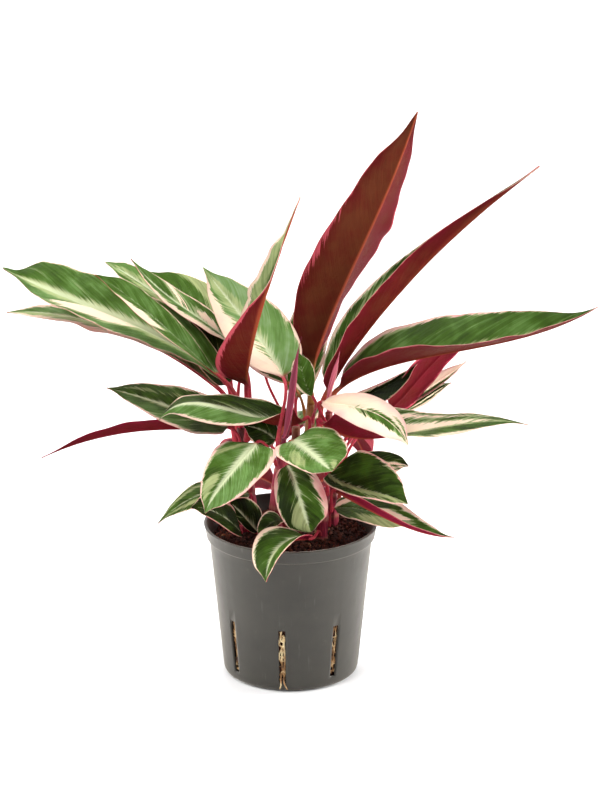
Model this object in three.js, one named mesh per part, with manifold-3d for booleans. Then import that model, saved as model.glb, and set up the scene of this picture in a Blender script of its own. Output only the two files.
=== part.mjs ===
// A potted prayer plant with three-coloured leaves (Stromanthe): leafy shoots that stand in a
// filled round growing pot with a flared rim and eight slots low in its wall.
// Millimetres, +Z up. The origin is the centre of the pot's flat underside; +X is to the right
// and +Y to the back of the plant.
import * as THREE from "three";
import { mergeVertices } from "three/addons/utils/BufferGeometryUtils.js";
import Module from "manifold-3d";

const wasm = await Module();
wasm.setup();

const { lerp, mapLinear, degToRad, smoothstep } = THREE.MathUtils;
const vec = (p) => new THREE.Vector3(...p);

// ---------------------------------------------------------------- driving dimensions

const POT_HEIGHT = 116;
const RIM_RADIUS = 65; // outside, at the very top
const RIM_BAND = 10; // height of the flared band under the rim
const RIM_BAND_FOOT_RADIUS = 62.8;
const WALL_TOP_RADIUS = 60.9; // outside, just under the band
const WALL_FOOT_RADIUS = 50.4; // outside, where the wall turns into the base
const FOOT_FLAT_RADIUS = 47.5; // the flat that it stands on
const FOOT_ROUND = 3.6; // height of the rounding between base and wall
const WALL = 1.5;
const LIP_WIDTH = 2.4; // flat top of the rim
const FLOOR = 2;
const POT_SIDES = 48;

const SLOTS = 8;
const SLOT_WIDTH = 5.3;
const SLOT_BOTTOM = 8;
const SLOT_TOP = 50;
const FIRST_SLOT = -97; // degrees round from +X, just left of the front

const SOIL_TOP = 105; // at the wall
const SOIL_DOME = 4; // how much higher in the middle
const SOIL_GAP = 2.2; // between root ball and wall, where the roots run
const ROOT = 1.5; // thickness of a root
const ROOT_RING_SIDES = 32;
const SOIL_SIDES = 36;
const SOIL_RINGS = 8; // from the wall to the crown
const CRUMB = 3.2; // how rough the soil's top is
const CLEAR = 0.3; // between pieces that touch

const SHOOT_SIDES = 8;
const JOINT_SWELL = 1.1; // how much fatter a shoot is at a joint
const BLADE = 0.8; // thickness of a leaf blade
const KEEL = 0.7; // how far the midrib stands out underneath, at the base
const STALK_RADII = [1.1, 2.1]; // of the shortest leaves and of the longest
const LEAF_LENGTHS = [60, 230]; // the lengths those radii belong to
const ACROSS = [1, 0.5, 0, -0.5, -1]; // places across a blade, left edge to right edge

// Shoots: the points that each axis passes through, and its radius at the foot and at the top.
const SHOOTS = {
  front: { axis: [[-12, -8, 82], [-10, -9, 138], [-5, -11, 182]], radius: [5.2, 3.3] },
  left: { axis: [[-26, 20, 82], [-32, 20, 140], [-37, 18, 184]], radius: [5.4, 3.4] },
  centre: { axis: [[10, 22, 82], [13, 22, 148], [15, 20, 202]], radius: [5.4, 3.2] },
  right: { axis: [[31, 20, 82], [31, 15, 148], [28, 2, 202]], radius: [5, 2.6] },
  low_right: { axis: [[22, -14, 82], [24, -13, 118], [26, -14, 148]], radius: [4.4, 3] },
  low_left: { axis: [[-34, 1, 82], [-34, 1, 104], [-33, 2, 120]], radius: [4.2, 2.8] },
  left_back: { axis: [[-30, 42, 82], [-34, 44, 148], [-40, 45, 190]], radius: [4.8, 3] },
  back: { axis: [[2, 38, 82], [3, 42, 138], [4, 44, 176]], radius: [4.8, 3] },
};

// Leaves. shoot and foot: the shoot it grows from, and the height at which it leaves it.
// rib: four points that the midrib passes through at even steps, from the blade's base to its tip.
// half: how wide the left and right halves of the blade are.
// face: where the upper side looks at mid-blade.
// fold: how far the left and right halves lift from flat at the base, and then at the tip, in
// degrees. curl: how much further the left and right halves turn by their edges.
// outline: how slowly the blade fills out from its base, and how slowly it draws in to its tip, or
// a pair of those for its left and right halves.
// side: where round the shoot the stalk leaves it, in degrees from +X, if not towards the blade.
// bend: between which shares of the length the fold changes from the base's to the tip's.
// turn: how far the blade is turned about its rib, as shares of the length and angles there.
// A rolled leaf is a young one that is still a spear, and its halves give the spear's thickness.
const LEAVES = {
  tall_back: { shoot: "centre", foot: 202, half: [33, 33],
    rib: [[16, 40, 224], [37, 34, 285], [64, 20, 351], [92, 12, 429]],
    face: [-0.35, 1, 0.1], fold: [[60, 15], [42, 12]], curl: [-10, -10], outline: [0.6, 0.82] },
  tall_right: { shoot: "centre", foot: 178, half: [21, 22], side: 30,
    rib: [[26, 8, 214], [59, 7, 267], [110, 9, 325], [181, 5, 390]],
    face: [-0.72, -0.1, 0.68], fold: [[50, 50], [76, 76]], curl: [-5, -5], outline: [0.65, 1.4],
    turn: [[0, 0.5, 0.8, 1], [0, 0, -26, -75]] },
  right_upper: { shoot: "right", foot: 188, half: [34, 24],
    rib: [[34, 8, 217], [88, 4, 242], [158, 0, 258], [225, -5, 286]],
    face: [-0.33, 0, 0.95], fold: [[36, 57], [44, 27]], curl: [-10, -5], outline: [0.75, 1.1] },
  right_behind: { shoot: "right", foot: 162, half: [19, 19],
    rib: [[73, 45, 190], [91, 50, 207], [112, 55, 229], [140, 55, 247]],
    face: [-0.55, 0.75, 0.35], fold: [[20, 62], [20, 62]], curl: [-10, -10], outline: [0.5, 0.8] },
  right_pale: { shoot: "right", foot: 148, half: [8, 8],
    rib: [[73, 62, 182], [91, 64, 192], [112, 66, 205], [132, 67, 220]],
    face: [-0.4, -0.6, 0.7], fold: [[20, 20], [20, 20]], curl: [0, 0], outline: [0.6, 0.9] },
  right_shaded: { shoot: "right", foot: 170, half: [5, 17],
    rib: [[36, 28, 200], [54, 33, 204], [74, 38, 212], [94, 42, 226]],
    face: [-0.2, -0.5, 0.85], fold: [[20, 20], [15, 15]], curl: [-10, -10], outline: [0.6, 0.9] },
  right_back: { shoot: "right", foot: 138, half: [7.5, 7.5],
    rib: [[79, 75, 175], [94, 80, 181], [108, 85, 189], [122, 88, 196]],
    face: [-0.2, -0.4, 0.9], fold: [[20, 20], [10, 10]], curl: [0, 0], outline: [0.6, 0.9] },
  cream: { shoot: "right", foot: 188, half: [12, 21], side: -110,
    rib: [[23, -10, 214], [45, -28, 217], [68, -45, 214], [86, -54, 195]],
    face: [0, -0.4, 0.9], fold: [[50, 30], [30, 8]], curl: [-15, -15], outline: [0.8, 0.8] },
  right_low: { shoot: "right", foot: 168, half: [26, 28],
    rib: [[23, -6, 197], [63, -20, 190], [117, -27, 202], [175, -27, 202]],
    face: [-0.05, -0.17, 0.98], fold: [[60, 80], [10, 6]], curl: [-10, -10], outline: [0.45, 1.15] },
  front_round: { shoot: "front", foot: 174, half: [27, 24],
    rib: [[1, -25, 189], [11, -47, 190], [21, -69, 189], [30, -85, 187]],
    face: [0, -0.35, 0.94], fold: [[35, 15], [20, 12]], curl: [-20, -20], outline: [0.45, 0.6] },
  front_left: { shoot: "front", foot: 166, half: [25, 24],
    rib: [[-25, -30, 189], [-38, -52, 181], [-52, -68, 168], [-62, -78, 152]],
    face: [-0.2, -0.6, 0.75], fold: [[18, 0], [15, 20]], curl: [-15, -15],
    outline: [[0.38, 0.8], [0.2, 0.8]] },
  front_lower: { shoot: "front", foot: 156, half: [19, 18],
    rib: [[-3, -20, 168], [3, -40, 162], [9, -50, 145], [15, -50, 127]],
    face: [0, -0.93, 0.35], fold: [[20, 20], [10, 10]], curl: [-20, -20], outline: [0.6, 0.45] },
  over_rim: { shoot: "low_right", foot: 112, half: [19, 19],
    rib: [[13, -44, 119], [-3, -60, 123], [-14, -72, 115], [-18, -77, 98]],
    face: [-0.3, -0.6, 0.7], fold: [[45, 15], [50, 15]], curl: [-15, -15], outline: [0.6, 0.8] },
  by_rim: { shoot: "front", foot: 112, half: [13, 13],
    rib: [[-5, -15, 120], [-10, -26, 127], [-17, -37, 127], [-24, -47, 120]],
    face: [-0.2, -0.5, 0.8], fold: [[20, 45], [15, 45]], curl: [-10, -10], outline: [0.6, 0.8] },
  left_big: { shoot: "centre", foot: 164, half: [20, 25], side: -100,
    rib: [[10, 6, 195], [-22, -8, 199], [-62, -32, 220], [-96, -44, 212]],
    face: [0.1, -0.25, 0.96], fold: [[92, 30], [-42, -20]], curl: [-10, -10],
    outline: [[0.45, 0.85], [0.75, 0.85]], bend: [0.05, 0.8] },
  left_dark: { shoot: "left", foot: 156, half: [25, 25], side: 245,
    rib: [[-46, 4, 189], [-72, 3, 199], [-104, 3, 211], [-136, 2, 221]],
    face: [0.3, -0.35, 0.9], fold: [[20, 15], [8, 8]], curl: [-10, -10], outline: [0.6, 1] },
  left_purple: { shoot: "left", foot: 146, half: [9, 10], side: 215,
    rib: [[-50, 14, 187], [-84, 18, 184], [-130, 26, 177], [-187, 30, 156]],
    face: [0, 0.6, 0.8], fold: [[30, 30], [40, 40]], curl: [0, 0], outline: [0.9, 1.2] },
  left_long: { shoot: "left", foot: 166, half: [28, 32], side: 120,
    rib: [[-47, 22, 217], [-97, 18, 255], [-155, 14, 283], [-211, 10, 311]],
    face: [0.2, -0.45, 0.85], fold: [[35, 35], [30, 8]], curl: [-15, -15], outline: [0.7, 0.5] },
  left_under: { shoot: "left_back", foot: 164, half: [24, 14],
    rib: [[-54, 30, 211], [-107, 36, 245], [-162, 38, 264], [-211, 38, 268]],
    face: [0.2, -0.2, 0.95], fold: [[30, 30], [20, 20]], curl: [-10, -10], outline: [0.7, 0.9] },
  left_third: { shoot: "left", foot: 184, half: [14, 13],
    rib: [[-54, 6, 230], [-78, 0, 255], [-109, -8, 287], [-142, -16, 314]],
    face: [0.35, -0.45, 0.82], fold: [[20, 30], [15, 20]], curl: [-10, -10], outline: [1.3, 0.85] },
  left_shade: { shoot: "left_back", foot: 188, half: [20, 17],
    rib: [[-47, 40, 209], [-58, 43, 231], [-73, 47, 250], [-88, 51, 268]],
    face: [0.4, -0.55, 0.75], fold: [[20, 20], [10, 10]], curl: [-10, -10], outline: [0.5, 0.7] },
  left_high_1: { shoot: "left_back", foot: 176, half: [12, 12],
    rib: [[-57, 68, 234], [-84, 72, 258], [-112, 75, 279], [-139, 77, 295]],
    face: [0.3, -0.45, 0.82], fold: [[25, 25], [15, 15]], curl: [-10, -10], outline: [0.6, 0.6] },
  left_high_2: { shoot: "left", foot: 174, half: [12, 12], side: 60,
    rib: [[-46, 34, 247], [-69, 33, 266], [-94, 33, 285], [-118, 34, 311]],
    face: [0.3, -0.45, 0.82], fold: [[25, 25], [15, 15]], curl: [-10, -10], outline: [0.6, 0.9] },
  left_high_3: { shoot: "left_back", foot: 190, half: [20, 20],
    rib: [[-44, 56, 240], [-62, 60, 261], [-82, 63, 277], [-106, 66, 291]],
    face: [0.3, -0.45, 0.85], fold: [[20, 20], [12, 15]], curl: [-10, -10], outline: [0.55, 0.85] },
  curled: { shoot: "left", foot: 176, half: [16, 25], side: -60,
    rib: [[-33, 13, 219], [-27, -22, 266], [-15, -39, 316], [7, -38, 379]],
    face: [-0.9, 0.2, 0.3], fold: [[85, 60], [35, 70]], curl: [20, 20], outline: [[0.8, 1.5], [0.7, 2.8]],
    turn: [[0, 0.52, 0.72, 1], [0, 0, -75, -95]] },
  centre_light: { shoot: "front", foot: 172, half: [25, 27], side: 240,
    rib: [[-5, -7, 231], [-21, 21, 250], [-41, 30, 274], [-65, 38, 303]],
    face: [0.3, -0.75, 0.5], fold: [[25, 15], [10, 8]], curl: [-15, -15], outline: [0.5, 0.85] },
  centre_under: { shoot: "centre", foot: 190, half: [10, 10], side: 130,
    rib: [[-2, 19, 219], [-16, 22, 228], [-29, 26, 236], [-42, 30, 243]],
    face: [0.2, -0.6, 0.75], fold: [[25, 25], [15, 15]], curl: [-5, -5], outline: [0.6, 0.8] },
  spear: { shoot: "front", foot: 182, half: [3.3, 3.3], rolled: true,
    rib: [[-3, -25, 196], [0, -26, 219], [3, -26, 244], [8, -25, 269]],
    face: [0, -1, 0], outline: [0.35, 0.5] },
  centre_small: { shoot: "centre", foot: 188, half: [9, 9], side: -75,
    rib: [[16, -3, 216], [11, -6, 227], [8, -7, 239], [6, -7, 251]],
    face: [0.2, -0.95, 0.2], fold: [[25, 25], [15, 15]], curl: [-10, -10], outline: [1.0, 0.8] },
  spear_pink: { shoot: "right", foot: 202, half: [2.4, 2.4], rolled: true,
    rib: [[28, -4, 212], [30, -6, 226], [33, -7, 239], [36, -8, 252]],
    face: [0, -1, 0], outline: [0.3, 0.3] },
  right_small: { shoot: "right", foot: 128, half: [9, 14],
    rib: [[40, 10, 153], [55, 14, 158], [73, 16, 159], [88, 14, 155]],
    face: [0, -0.6, 0.8], fold: [[8, 5], [0, 0]], curl: [-10, -15], outline: [0.55, 0.7] },
  right_lower: { shoot: "low_right", foot: 144, half: [28, 15],
    rib: [[28, -22, 163], [44, -34, 158], [66, -44, 155], [86, -46, 147]],
    face: [0.1, -0.5, 0.85], fold: [[35, 30], [20, 25]], curl: [-15, -15], outline: [0.42, 0.7] },
  right_lowest: { shoot: "low_right", foot: 130, half: [20, 9],
    rib: [[33, -17, 147], [52, -25, 139], [85, -36, 126], [121, -40, 119]],
    face: [0.2, -0.1, 0.97], fold: [[20, 70], [30, 50]], curl: [-5, -5], outline: [0.6, 1.1] },
  right_grey: { shoot: "low_right", foot: 116, half: [17, 17],
    rib: [[32, -7, 129], [48, -8, 130], [67, -10, 125], [86, -12, 117]],
    face: [0.15, -0.25, 0.95], fold: [[15, 15], [8, 8]], curl: [-15, -15], outline: [0.55, 0.7] },
  left_low_1: { shoot: "low_left", foot: 121, half: [17, 14],
    rib: [[-30, 4, 136], [-50, -1, 142], [-74, -6, 137], [-99, -9, 118]],
    face: [-0.05, -0.3, 0.95], fold: [[20, 20], [12, 12]], curl: [-15, -15], outline: [0.55, 0.9] },
  left_low_2: { shoot: "low_left", foot: 110, half: [12, 17], side: 225,
    rib: [[-37, -26, 118], [-44, -35, 129], [-57, -44, 141], [-73, -48, 145]],
    face: [0.3, -0.4, 0.85], fold: [[12, 12], [8, 8]], curl: [-15, -15], outline: [0.55, 0.7] },
  left_low_3: { shoot: "low_left", foot: 109, half: [7, 12], side: -60,
    rib: [[-24, -12, 112], [-31, -13, 121], [-38, -14, 129.5], [-45, -15, 137]],
    face: [0.5, -0.6, 0.6], fold: [[12, 12], [8, 8]], curl: [-15, -15], outline: [0.55, 0.7] },
  inner_shade: { shoot: "front", foot: 160, half: [11, 11],
    rib: [[-11, 0, 181], [-18, -1, 187], [-26, -2, 191], [-35, -3, 193]],
    face: [0.2, -0.6, 0.75], fold: [[15, 15], [8, 8]], curl: [-15, -15], outline: [0.55, 0.7] },
  back_left: { shoot: "back", foot: 142, half: [18, 18],
    rib: [[-14, 54, 156], [-30, 80, 156], [-43, 105, 141], [-50, 126, 116]],
    face: [-0.3, 0.4, 0.85], fold: [[20, 20], [10, 10]], curl: [-15, -15], outline: [0.55, 0.8] },
  back_middle: { shoot: "back", foot: 164, half: [24, 24],
    rib: [[4, 60, 170], [2, 92, 170], [-4, 124, 154], [-8, 150, 122]],
    face: [0, 0.35, 0.93], fold: [[20, 20], [10, 10]], curl: [-15, -15], outline: [0.55, 0.8] },
  back_right: { shoot: "back", foot: 148, half: [20, 20],
    rib: [[14, 56, 166], [32, 86, 164], [48, 112, 146], [58, 132, 116]],
    face: [0.3, 0.4, 0.85], fold: [[20, 20], [10, 10]], curl: [-15, -15], outline: [0.55, 0.8] },
  back_tall: { shoot: "back", foot: 174, half: [17, 17],
    rib: [[4, 57, 193], [10, 66, 227], [18, 70, 261], [30, 70, 295]],
    face: [-0.2, -0.95, 0.2], fold: [[25, 25], [12, 12]], curl: [-15, -15], outline: [0.55, 0.9] },
  back_inner: { shoot: "back", foot: 168, half: [16, 16],
    rib: [[-20, 62, 214], [-25, 69, 234], [-31, 74, 252], [-38, 78, 270]],
    face: [0.3, -0.8, 0.4], fold: [[25, 25], [12, 12]], curl: [-15, -15], outline: [0.55, 0.8] },
  back_low_left: { shoot: "back", foot: 118, half: [22, 22],
    rib: [[-10, 58, 124], [-27, 74, 126], [-40, 90, 118], [-50, 106, 102]],
    face: [-0.2, 0.8, 0.55], fold: [[20, 20], [10, 10]], curl: [-15, -15], outline: [0.3, 0.8] },
  back_low_right: { shoot: "back", foot: 126, half: [22, 22],
    rib: [[14, 52, 124], [28, 66, 128], [41, 84, 122], [52, 98, 106]],
    face: [0.2, 0.8, 0.55], fold: [[20, 20], [10, 10]], curl: [-15, -15], outline: [0.3, 0.8] },
};

const COLOURS = {
  pot: [0x5d5c57, 0.55],
  soil: [0x3a2118, 0.95],
  roots: [0xd9b878, 0.8],
  shoot: [0x9a3148, 0.5],
  leaf: [0x47703c, 0.42],
  spear: [0xa2455a, 0.45],
};

// ---------------------------------------------------------------- general helpers

function meshOf(name, geometry, colour) {
  const [color, roughness] = COLOURS[colour];
  const mesh = new THREE.Mesh(geometry, new THREE.MeshStandardMaterial({ color, roughness }));
  mesh.name = name;
  return mesh;
}

function geometryOf(points, triangles) {
  const g = new THREE.BufferGeometry();
  const flat = points.flatMap((p) => [p.x, p.y, p.z]);
  g.setAttribute("position", new THREE.Float32BufferAttribute(flat, 3));
  g.setIndex(triangles);
  return g;
}

function solidOf(geometry) {
  const bare = geometry.clone();
  bare.deleteAttribute("normal");
  bare.deleteAttribute("uv");
  const merged = mergeVertices(bare, 1e-4);
  return new wasm.Manifold(new wasm.Mesh({
    numProp: 3,
    vertProperties: new Float32Array(merged.attributes.position.array),
    triVerts: new Uint32Array(merged.index.array),
  }));
}

function geometryOfSolid(solid) {
  const m = solid.getMesh();
  const xyz = [];
  for (let i = 0; i < m.numVert; i++) {
    xyz.push(...m.vertProperties.subarray(i * m.numProp, i * m.numProp + 3));
  }
  const g = new THREE.BufferGeometry();
  g.setAttribute("position", new THREE.Float32BufferAttribute(xyz, 3));
  g.setIndex([...m.triVerts]);
  return g;
}

// A closed skin over rings of equally many points, each ring clockwise seen along the path.
// The first half of each ring is its upper side. Its quads are split by the same diagonal as
// those below them, so that the two faces of a thin blade can't cross.
function skin(rings) {
  const n = rings[0].length;
  const at = (i, k) => i * n + (k % n);
  const triangles = [];
  for (let i = 0; i + 1 < rings.length; i++) {
    for (let k = 0; k < n; k++) {
      const [a, b, c, d] = [at(i, k), at(i, k + 1), at(i + 1, k + 1), at(i + 1, k)];
      if (k < n / 2) triangles.push(a, b, c, a, c, d);
      else triangles.push(a, b, d, b, c, d);
    }
  }
  const last = rings.length - 1;
  for (let k = 0; k + 1 < n / 2; k++) {
    const under = n - 1 - k;
    triangles.push(at(0, k), at(0, under), at(0, under - 1));
    triangles.push(at(0, k), at(0, under - 1), at(0, k + 1));
    triangles.push(at(last, k), at(last, under - 1), at(last, under));
    triangles.push(at(last, k), at(last, k + 1), at(last, under - 1));
  }
  return geometryOf(rings.flat(), triangles);
}

// ---------------------------------------------------------------- pot, soil and roots

// Outside radius of the wall at a height, between its foot and the rim band.
function wallRadius(z) {
  const share = (z - FOOT_ROUND) / (POT_HEIGHT - RIM_BAND - FOOT_ROUND);
  return lerp(WALL_FOOT_RADIUS, WALL_TOP_RADIUS, share);
}

function potGeometry() {
  const under = POT_HEIGHT - RIM_BAND;
  const profile = [
    [0, 0],
    [FOOT_FLAT_RADIUS, 0],
    [FOOT_FLAT_RADIUS + 1.9, FOOT_ROUND * 0.3],
    [WALL_FOOT_RADIUS, FOOT_ROUND],
    [WALL_TOP_RADIUS, under - 1],
    [RIM_BAND_FOOT_RADIUS, under],
    [RIM_RADIUS - 0.5, POT_HEIGHT - 0.7],
    [RIM_RADIUS - 0.9, POT_HEIGHT],
    [RIM_RADIUS - LIP_WIDTH, POT_HEIGHT],
    [RIM_RADIUS - LIP_WIDTH - 0.4, POT_HEIGHT - 2.5],
    [WALL_TOP_RADIUS - WALL, under - 2],
    [wallRadius(FLOOR + 2) - WALL, FLOOR + 2],
    [WALL_FOOT_RADIUS - WALL - 2.4, FLOOR],
    [0, FLOOR],
  ].map(([r, z]) => new THREE.Vector2(r, z));
  const turned = new THREE.LatheGeometry(profile, POT_SIDES);
  turned.rotateX(Math.PI / 2); // from the lathe's +Y to +Z
  let pot = solidOf(turned);
  for (let i = 0; i < SLOTS; i++) {
    const turn = degToRad(FIRST_SLOT + (360 / SLOTS) * i);
    const cut = new THREE.BoxGeometry(30, SLOT_WIDTH, SLOT_TOP - SLOT_BOTTOM);
    cut.translate(WALL_FOOT_RADIUS, 0, (SLOT_TOP + SLOT_BOTTOM) / 2);
    cut.rotateZ(turn);
    pot = pot.subtract(solidOf(cut));
  }
  return geometryOfSolid(pot);
}

// A repeatable number from 0 to 1 for a pair of whole numbers.
function grain(i, j) {
  const s = Math.sin(i * 127.1 + j * 311.7) * 43758.5453;
  return s - Math.floor(s);
}

// The root ball: a turned body with a crumbly top, and plain holes where the shoots stand.
function soilGeometry() {
  const radiusAt = (z) => wallRadius(z) - WALL - SOIL_GAP;
  const rimR = radiusAt(SOIL_TOP);
  const points = [];
  const triangles = [];
  const ring = (r, z, rough, row) => {
    for (let k = 0; k < SOIL_SIDES; k++) {
      const a = (2 * Math.PI * (k + (row % 2) / 2)) / SOIL_SIDES;
      const crumb = rough * (grain(row, k) - 0.5);
      points.push(new THREE.Vector3(r * Math.cos(a), r * Math.sin(a), z + crumb));
    }
  };
  const profile = [
    [radiusAt(FLOOR + 3) - 1, FLOOR + CLEAR],
    [radiusAt(FLOOR + 6), FLOOR + 5],
    [rimR, SOIL_TOP - 1],
  ];
  profile.forEach(([r, z], row) => ring(r, z, 0, row * 2));
  for (let row = 1; row < SOIL_RINGS; row++) {
    const share = 1 - row / SOIL_RINGS;
    ring(rimR * share, SOIL_TOP + SOIL_DOME * (1 - share * share), CRUMB, row + 3);
  }
  const rows = points.length / SOIL_SIDES;
  const at = (row, k) => row * SOIL_SIDES + (k % SOIL_SIDES);
  for (let row = 0; row + 1 < rows; row++) {
    for (let k = 0; k < SOIL_SIDES; k++) {
      const [a, b, c, d] = [at(row, k), at(row, k + 1), at(row + 1, k + 1), at(row + 1, k)];
      triangles.push(a, b, c, a, c, d);
    }
  }
  const bottom = points.push(new THREE.Vector3(0, 0, FLOOR + CLEAR)) - 1;
  const crown = points.push(new THREE.Vector3(0, 0, SOIL_TOP + SOIL_DOME)) - 1;
  for (let k = 0; k < SOIL_SIDES; k++) {
    triangles.push(bottom, at(0, k + 1), at(0, k));
    triangles.push(crown, at(rows - 1, k), at(rows - 1, k + 1));
  }
  let soil = solidOf(geometryOf(points, triangles));
  for (const shoot of Object.values(SHOOTS)) {
    const sunk = shootRings(shoot, CLEAR).filter((ring) => ring[0].z < SOIL_TOP + 25);
    soil = soil.subtract(solidOf(skin(sunk)));
  }
  return geometryOfSolid(soil);
}

// A root: a slim four-sided tube along a smooth curve through a list of points.
function rootGeometry(points) {
  const curve = new THREE.CatmullRomCurve3(points);
  const r = ROOT / 2;
  const section = new THREE.Shape([
    new THREE.Vector2(r, 0),
    new THREE.Vector2(0, r),
    new THREE.Vector2(-r, 0),
    new THREE.Vector2(0, -r),
  ]);
  const steps = points.length + 1;
  return new THREE.ExtrudeGeometry(section, { steps, extrudePath: curve, bevelEnabled: false });
}

// The roots in the gap round the root ball, grown together: two that circle it, a winding one
// behind each slot, and two that hang out of the slot at the front.
function rootsGeometry() {
  const gapRadius = (z) => wallRadius(z) - WALL - SOIL_GAP / 2;
  const place = (turn, z, out = 0) => {
    const r = gapRadius(z) + out;
    return new THREE.Vector3(r * Math.cos(turn), r * Math.sin(turn), z);
  };
  const low = SLOT_BOTTOM + 3;
  const high = SLOT_TOP + 2;
  const pieces = [low, high].map((z) => {
    const ring = new THREE.TorusGeometry(gapRadius(z), ROOT / 2, 4, ROOT_RING_SIDES);
    ring.translate(0, 0, z);
    return ring;
  });
  for (let i = 0; i < SLOTS; i++) {
    const turn = degToRad(FIRST_SLOT + (360 / SLOTS) * i);
    const heights = [low, lerp(low, high, 0.28), lerp(low, high, 0.52), lerp(low, high, 0.77), high];
    const sway = [-0.02, 0.022, -0.012, 0.024, 0];
    pieces.push(rootGeometry(heights.map((z, k) => place(turn + sway[(k + i) % sway.length], z))));
  }
  const front = degToRad(FIRST_SLOT);
  for (const way of [-1, 1]) {
    pieces.push(rootGeometry([
      place(front + 0.02 * way, low),
      place(front + 0.02 * way, low + 0.5, 2.4),
      place(front + 0.016 * way, low - 2, 4.2),
      place(front + 0.035 * way, low - 6, 5.4),
      place(front + 0.055 * way + 0.02, 1.6, 6),
    ]));
  }
  return geometryOfSolid(pieces.map(solidOf).reduce((all, piece) => all.add(piece)));
}

// ---------------------------------------------------------------- shoots

function shootCurve(shoot) {
  return new THREE.CatmullRomCurve3(shoot.axis.map(vec), false, "centripetal");
}

// The axis point and radius of a shoot at a height.
function shootAt(shoot, z) {
  const curve = shootCurve(shoot);
  let [low, high] = [0, 1];
  for (let i = 0; i < 30; i++) {
    const mid = (low + high) / 2;
    if (curve.getPoint(mid).z < z) low = mid;
    else high = mid;
  }
  const share = (z - shoot.axis[0][2]) / (shoot.axis[2][2] - shoot.axis[0][2]);
  return { point: curve.getPoint(low), radius: lerp(...shoot.radius, share) };
}

// Rings of a shoot, level, with a slight swelling at each joint. extra makes it fatter, for holes.
function shootRings(shoot, extra) {
  const [low, high] = [shoot.axis[0][2] - extra, shoot.axis[2][2] + extra];
  const steps = 9;
  const rings = [];
  for (let i = 0; i <= steps; i++) {
    const z = lerp(low, high, i / steps);
    const { point, radius } = shootAt(shoot, z);
    const joint = i % 3 === 1 ? JOINT_SWELL : 1;
    const ring = [];
    for (let k = 0; k < SHOOT_SIDES; k++) {
      const a = (2 * Math.PI * (k + 0.5)) / SHOOT_SIDES;
      const r = radius * joint + extra;
      ring.push(new THREE.Vector3(point.x + r * Math.cos(a), point.y + r * Math.sin(a), z));
    }
    rings.push(ring);
  }
  return rings;
}

// ---------------------------------------------------------------- leaves

// A cubic curve that passes through four points at even steps.
function through([a, b, c, d]) {
  const [p, q, r, s] = [a, b, c, d].map(vec);
  const near = p.clone().multiplyScalar(-5).addScaledVector(q, 18).addScaledVector(r, -9)
    .addScaledVector(s, 2).divideScalar(6);
  const far = p.clone().multiplyScalar(2).addScaledVector(q, -9).addScaledVector(r, 18)
    .addScaledVector(s, -5).divideScalar(6);
  return new THREE.CubicBezierCurve3(p, near, far, s);
}

// The stalk: it leaves the shoot steeply and runs on into the midrib's own direction.
function stalk(leaf, rib, radius) {
  const { point, radius: stem } = shootAt(SHOOTS[leaf.shoot], leaf.foot);
  const start = rib.getPoint(0);
  const toBlade = Math.atan2(start.y - point.y, start.x - point.x);
  const side = leaf.side === undefined ? toBlade : degToRad(leaf.side);
  const out = new THREE.Vector3(Math.cos(side), Math.sin(side), 0);
  const atTop = leaf.foot >= SHOOTS[leaf.shoot].axis[2][2];
  const foot = point.clone();
  if (atTop) foot.z += CLEAR;
  else foot.addScaledVector(out, stem * 1.1 + radius + CLEAR);
  const reach = foot.distanceTo(start);
  const leave = new THREE.Vector3(0, 0, 1).addScaledVector(out, atTop ? 0 : 0.35).normalize();
  const arrive = rib.getTangent(0);
  return new THREE.CubicBezierCurve3(
    foot,
    foot.clone().addScaledVector(leave, reach * 0.4),
    start.clone().addScaledVector(arrive, -reach * 0.35),
    start,
  );
}

// How wide a blade is at t, as a share of its full width.
function outlineAt(t, [base, tip]) {
  const widest = base / (base + tip);
  const full = widest ** base * (1 - widest) ** tip;
  return (t ** base * (1 - t) ** tip) / full;
}

// One half of a blade's cross-section: how far out and up a place at share u lies, when the half
// starts at angle fold and has turned by curl at its edge, and the direction it runs in there.
function halfSection(u, halfWidth, fold, curl) {
  const angle = fold + curl * u;
  if (Math.abs(curl) < 1e-3) {
    return { out: halfWidth * u * Math.cos(fold), up: halfWidth * u * Math.sin(fold), angle };
  }
  return {
    out: (halfWidth * (Math.sin(angle) - Math.sin(fold))) / curl,
    up: (halfWidth * (Math.cos(fold) - Math.cos(angle))) / curl,
    angle,
  };
}

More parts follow.
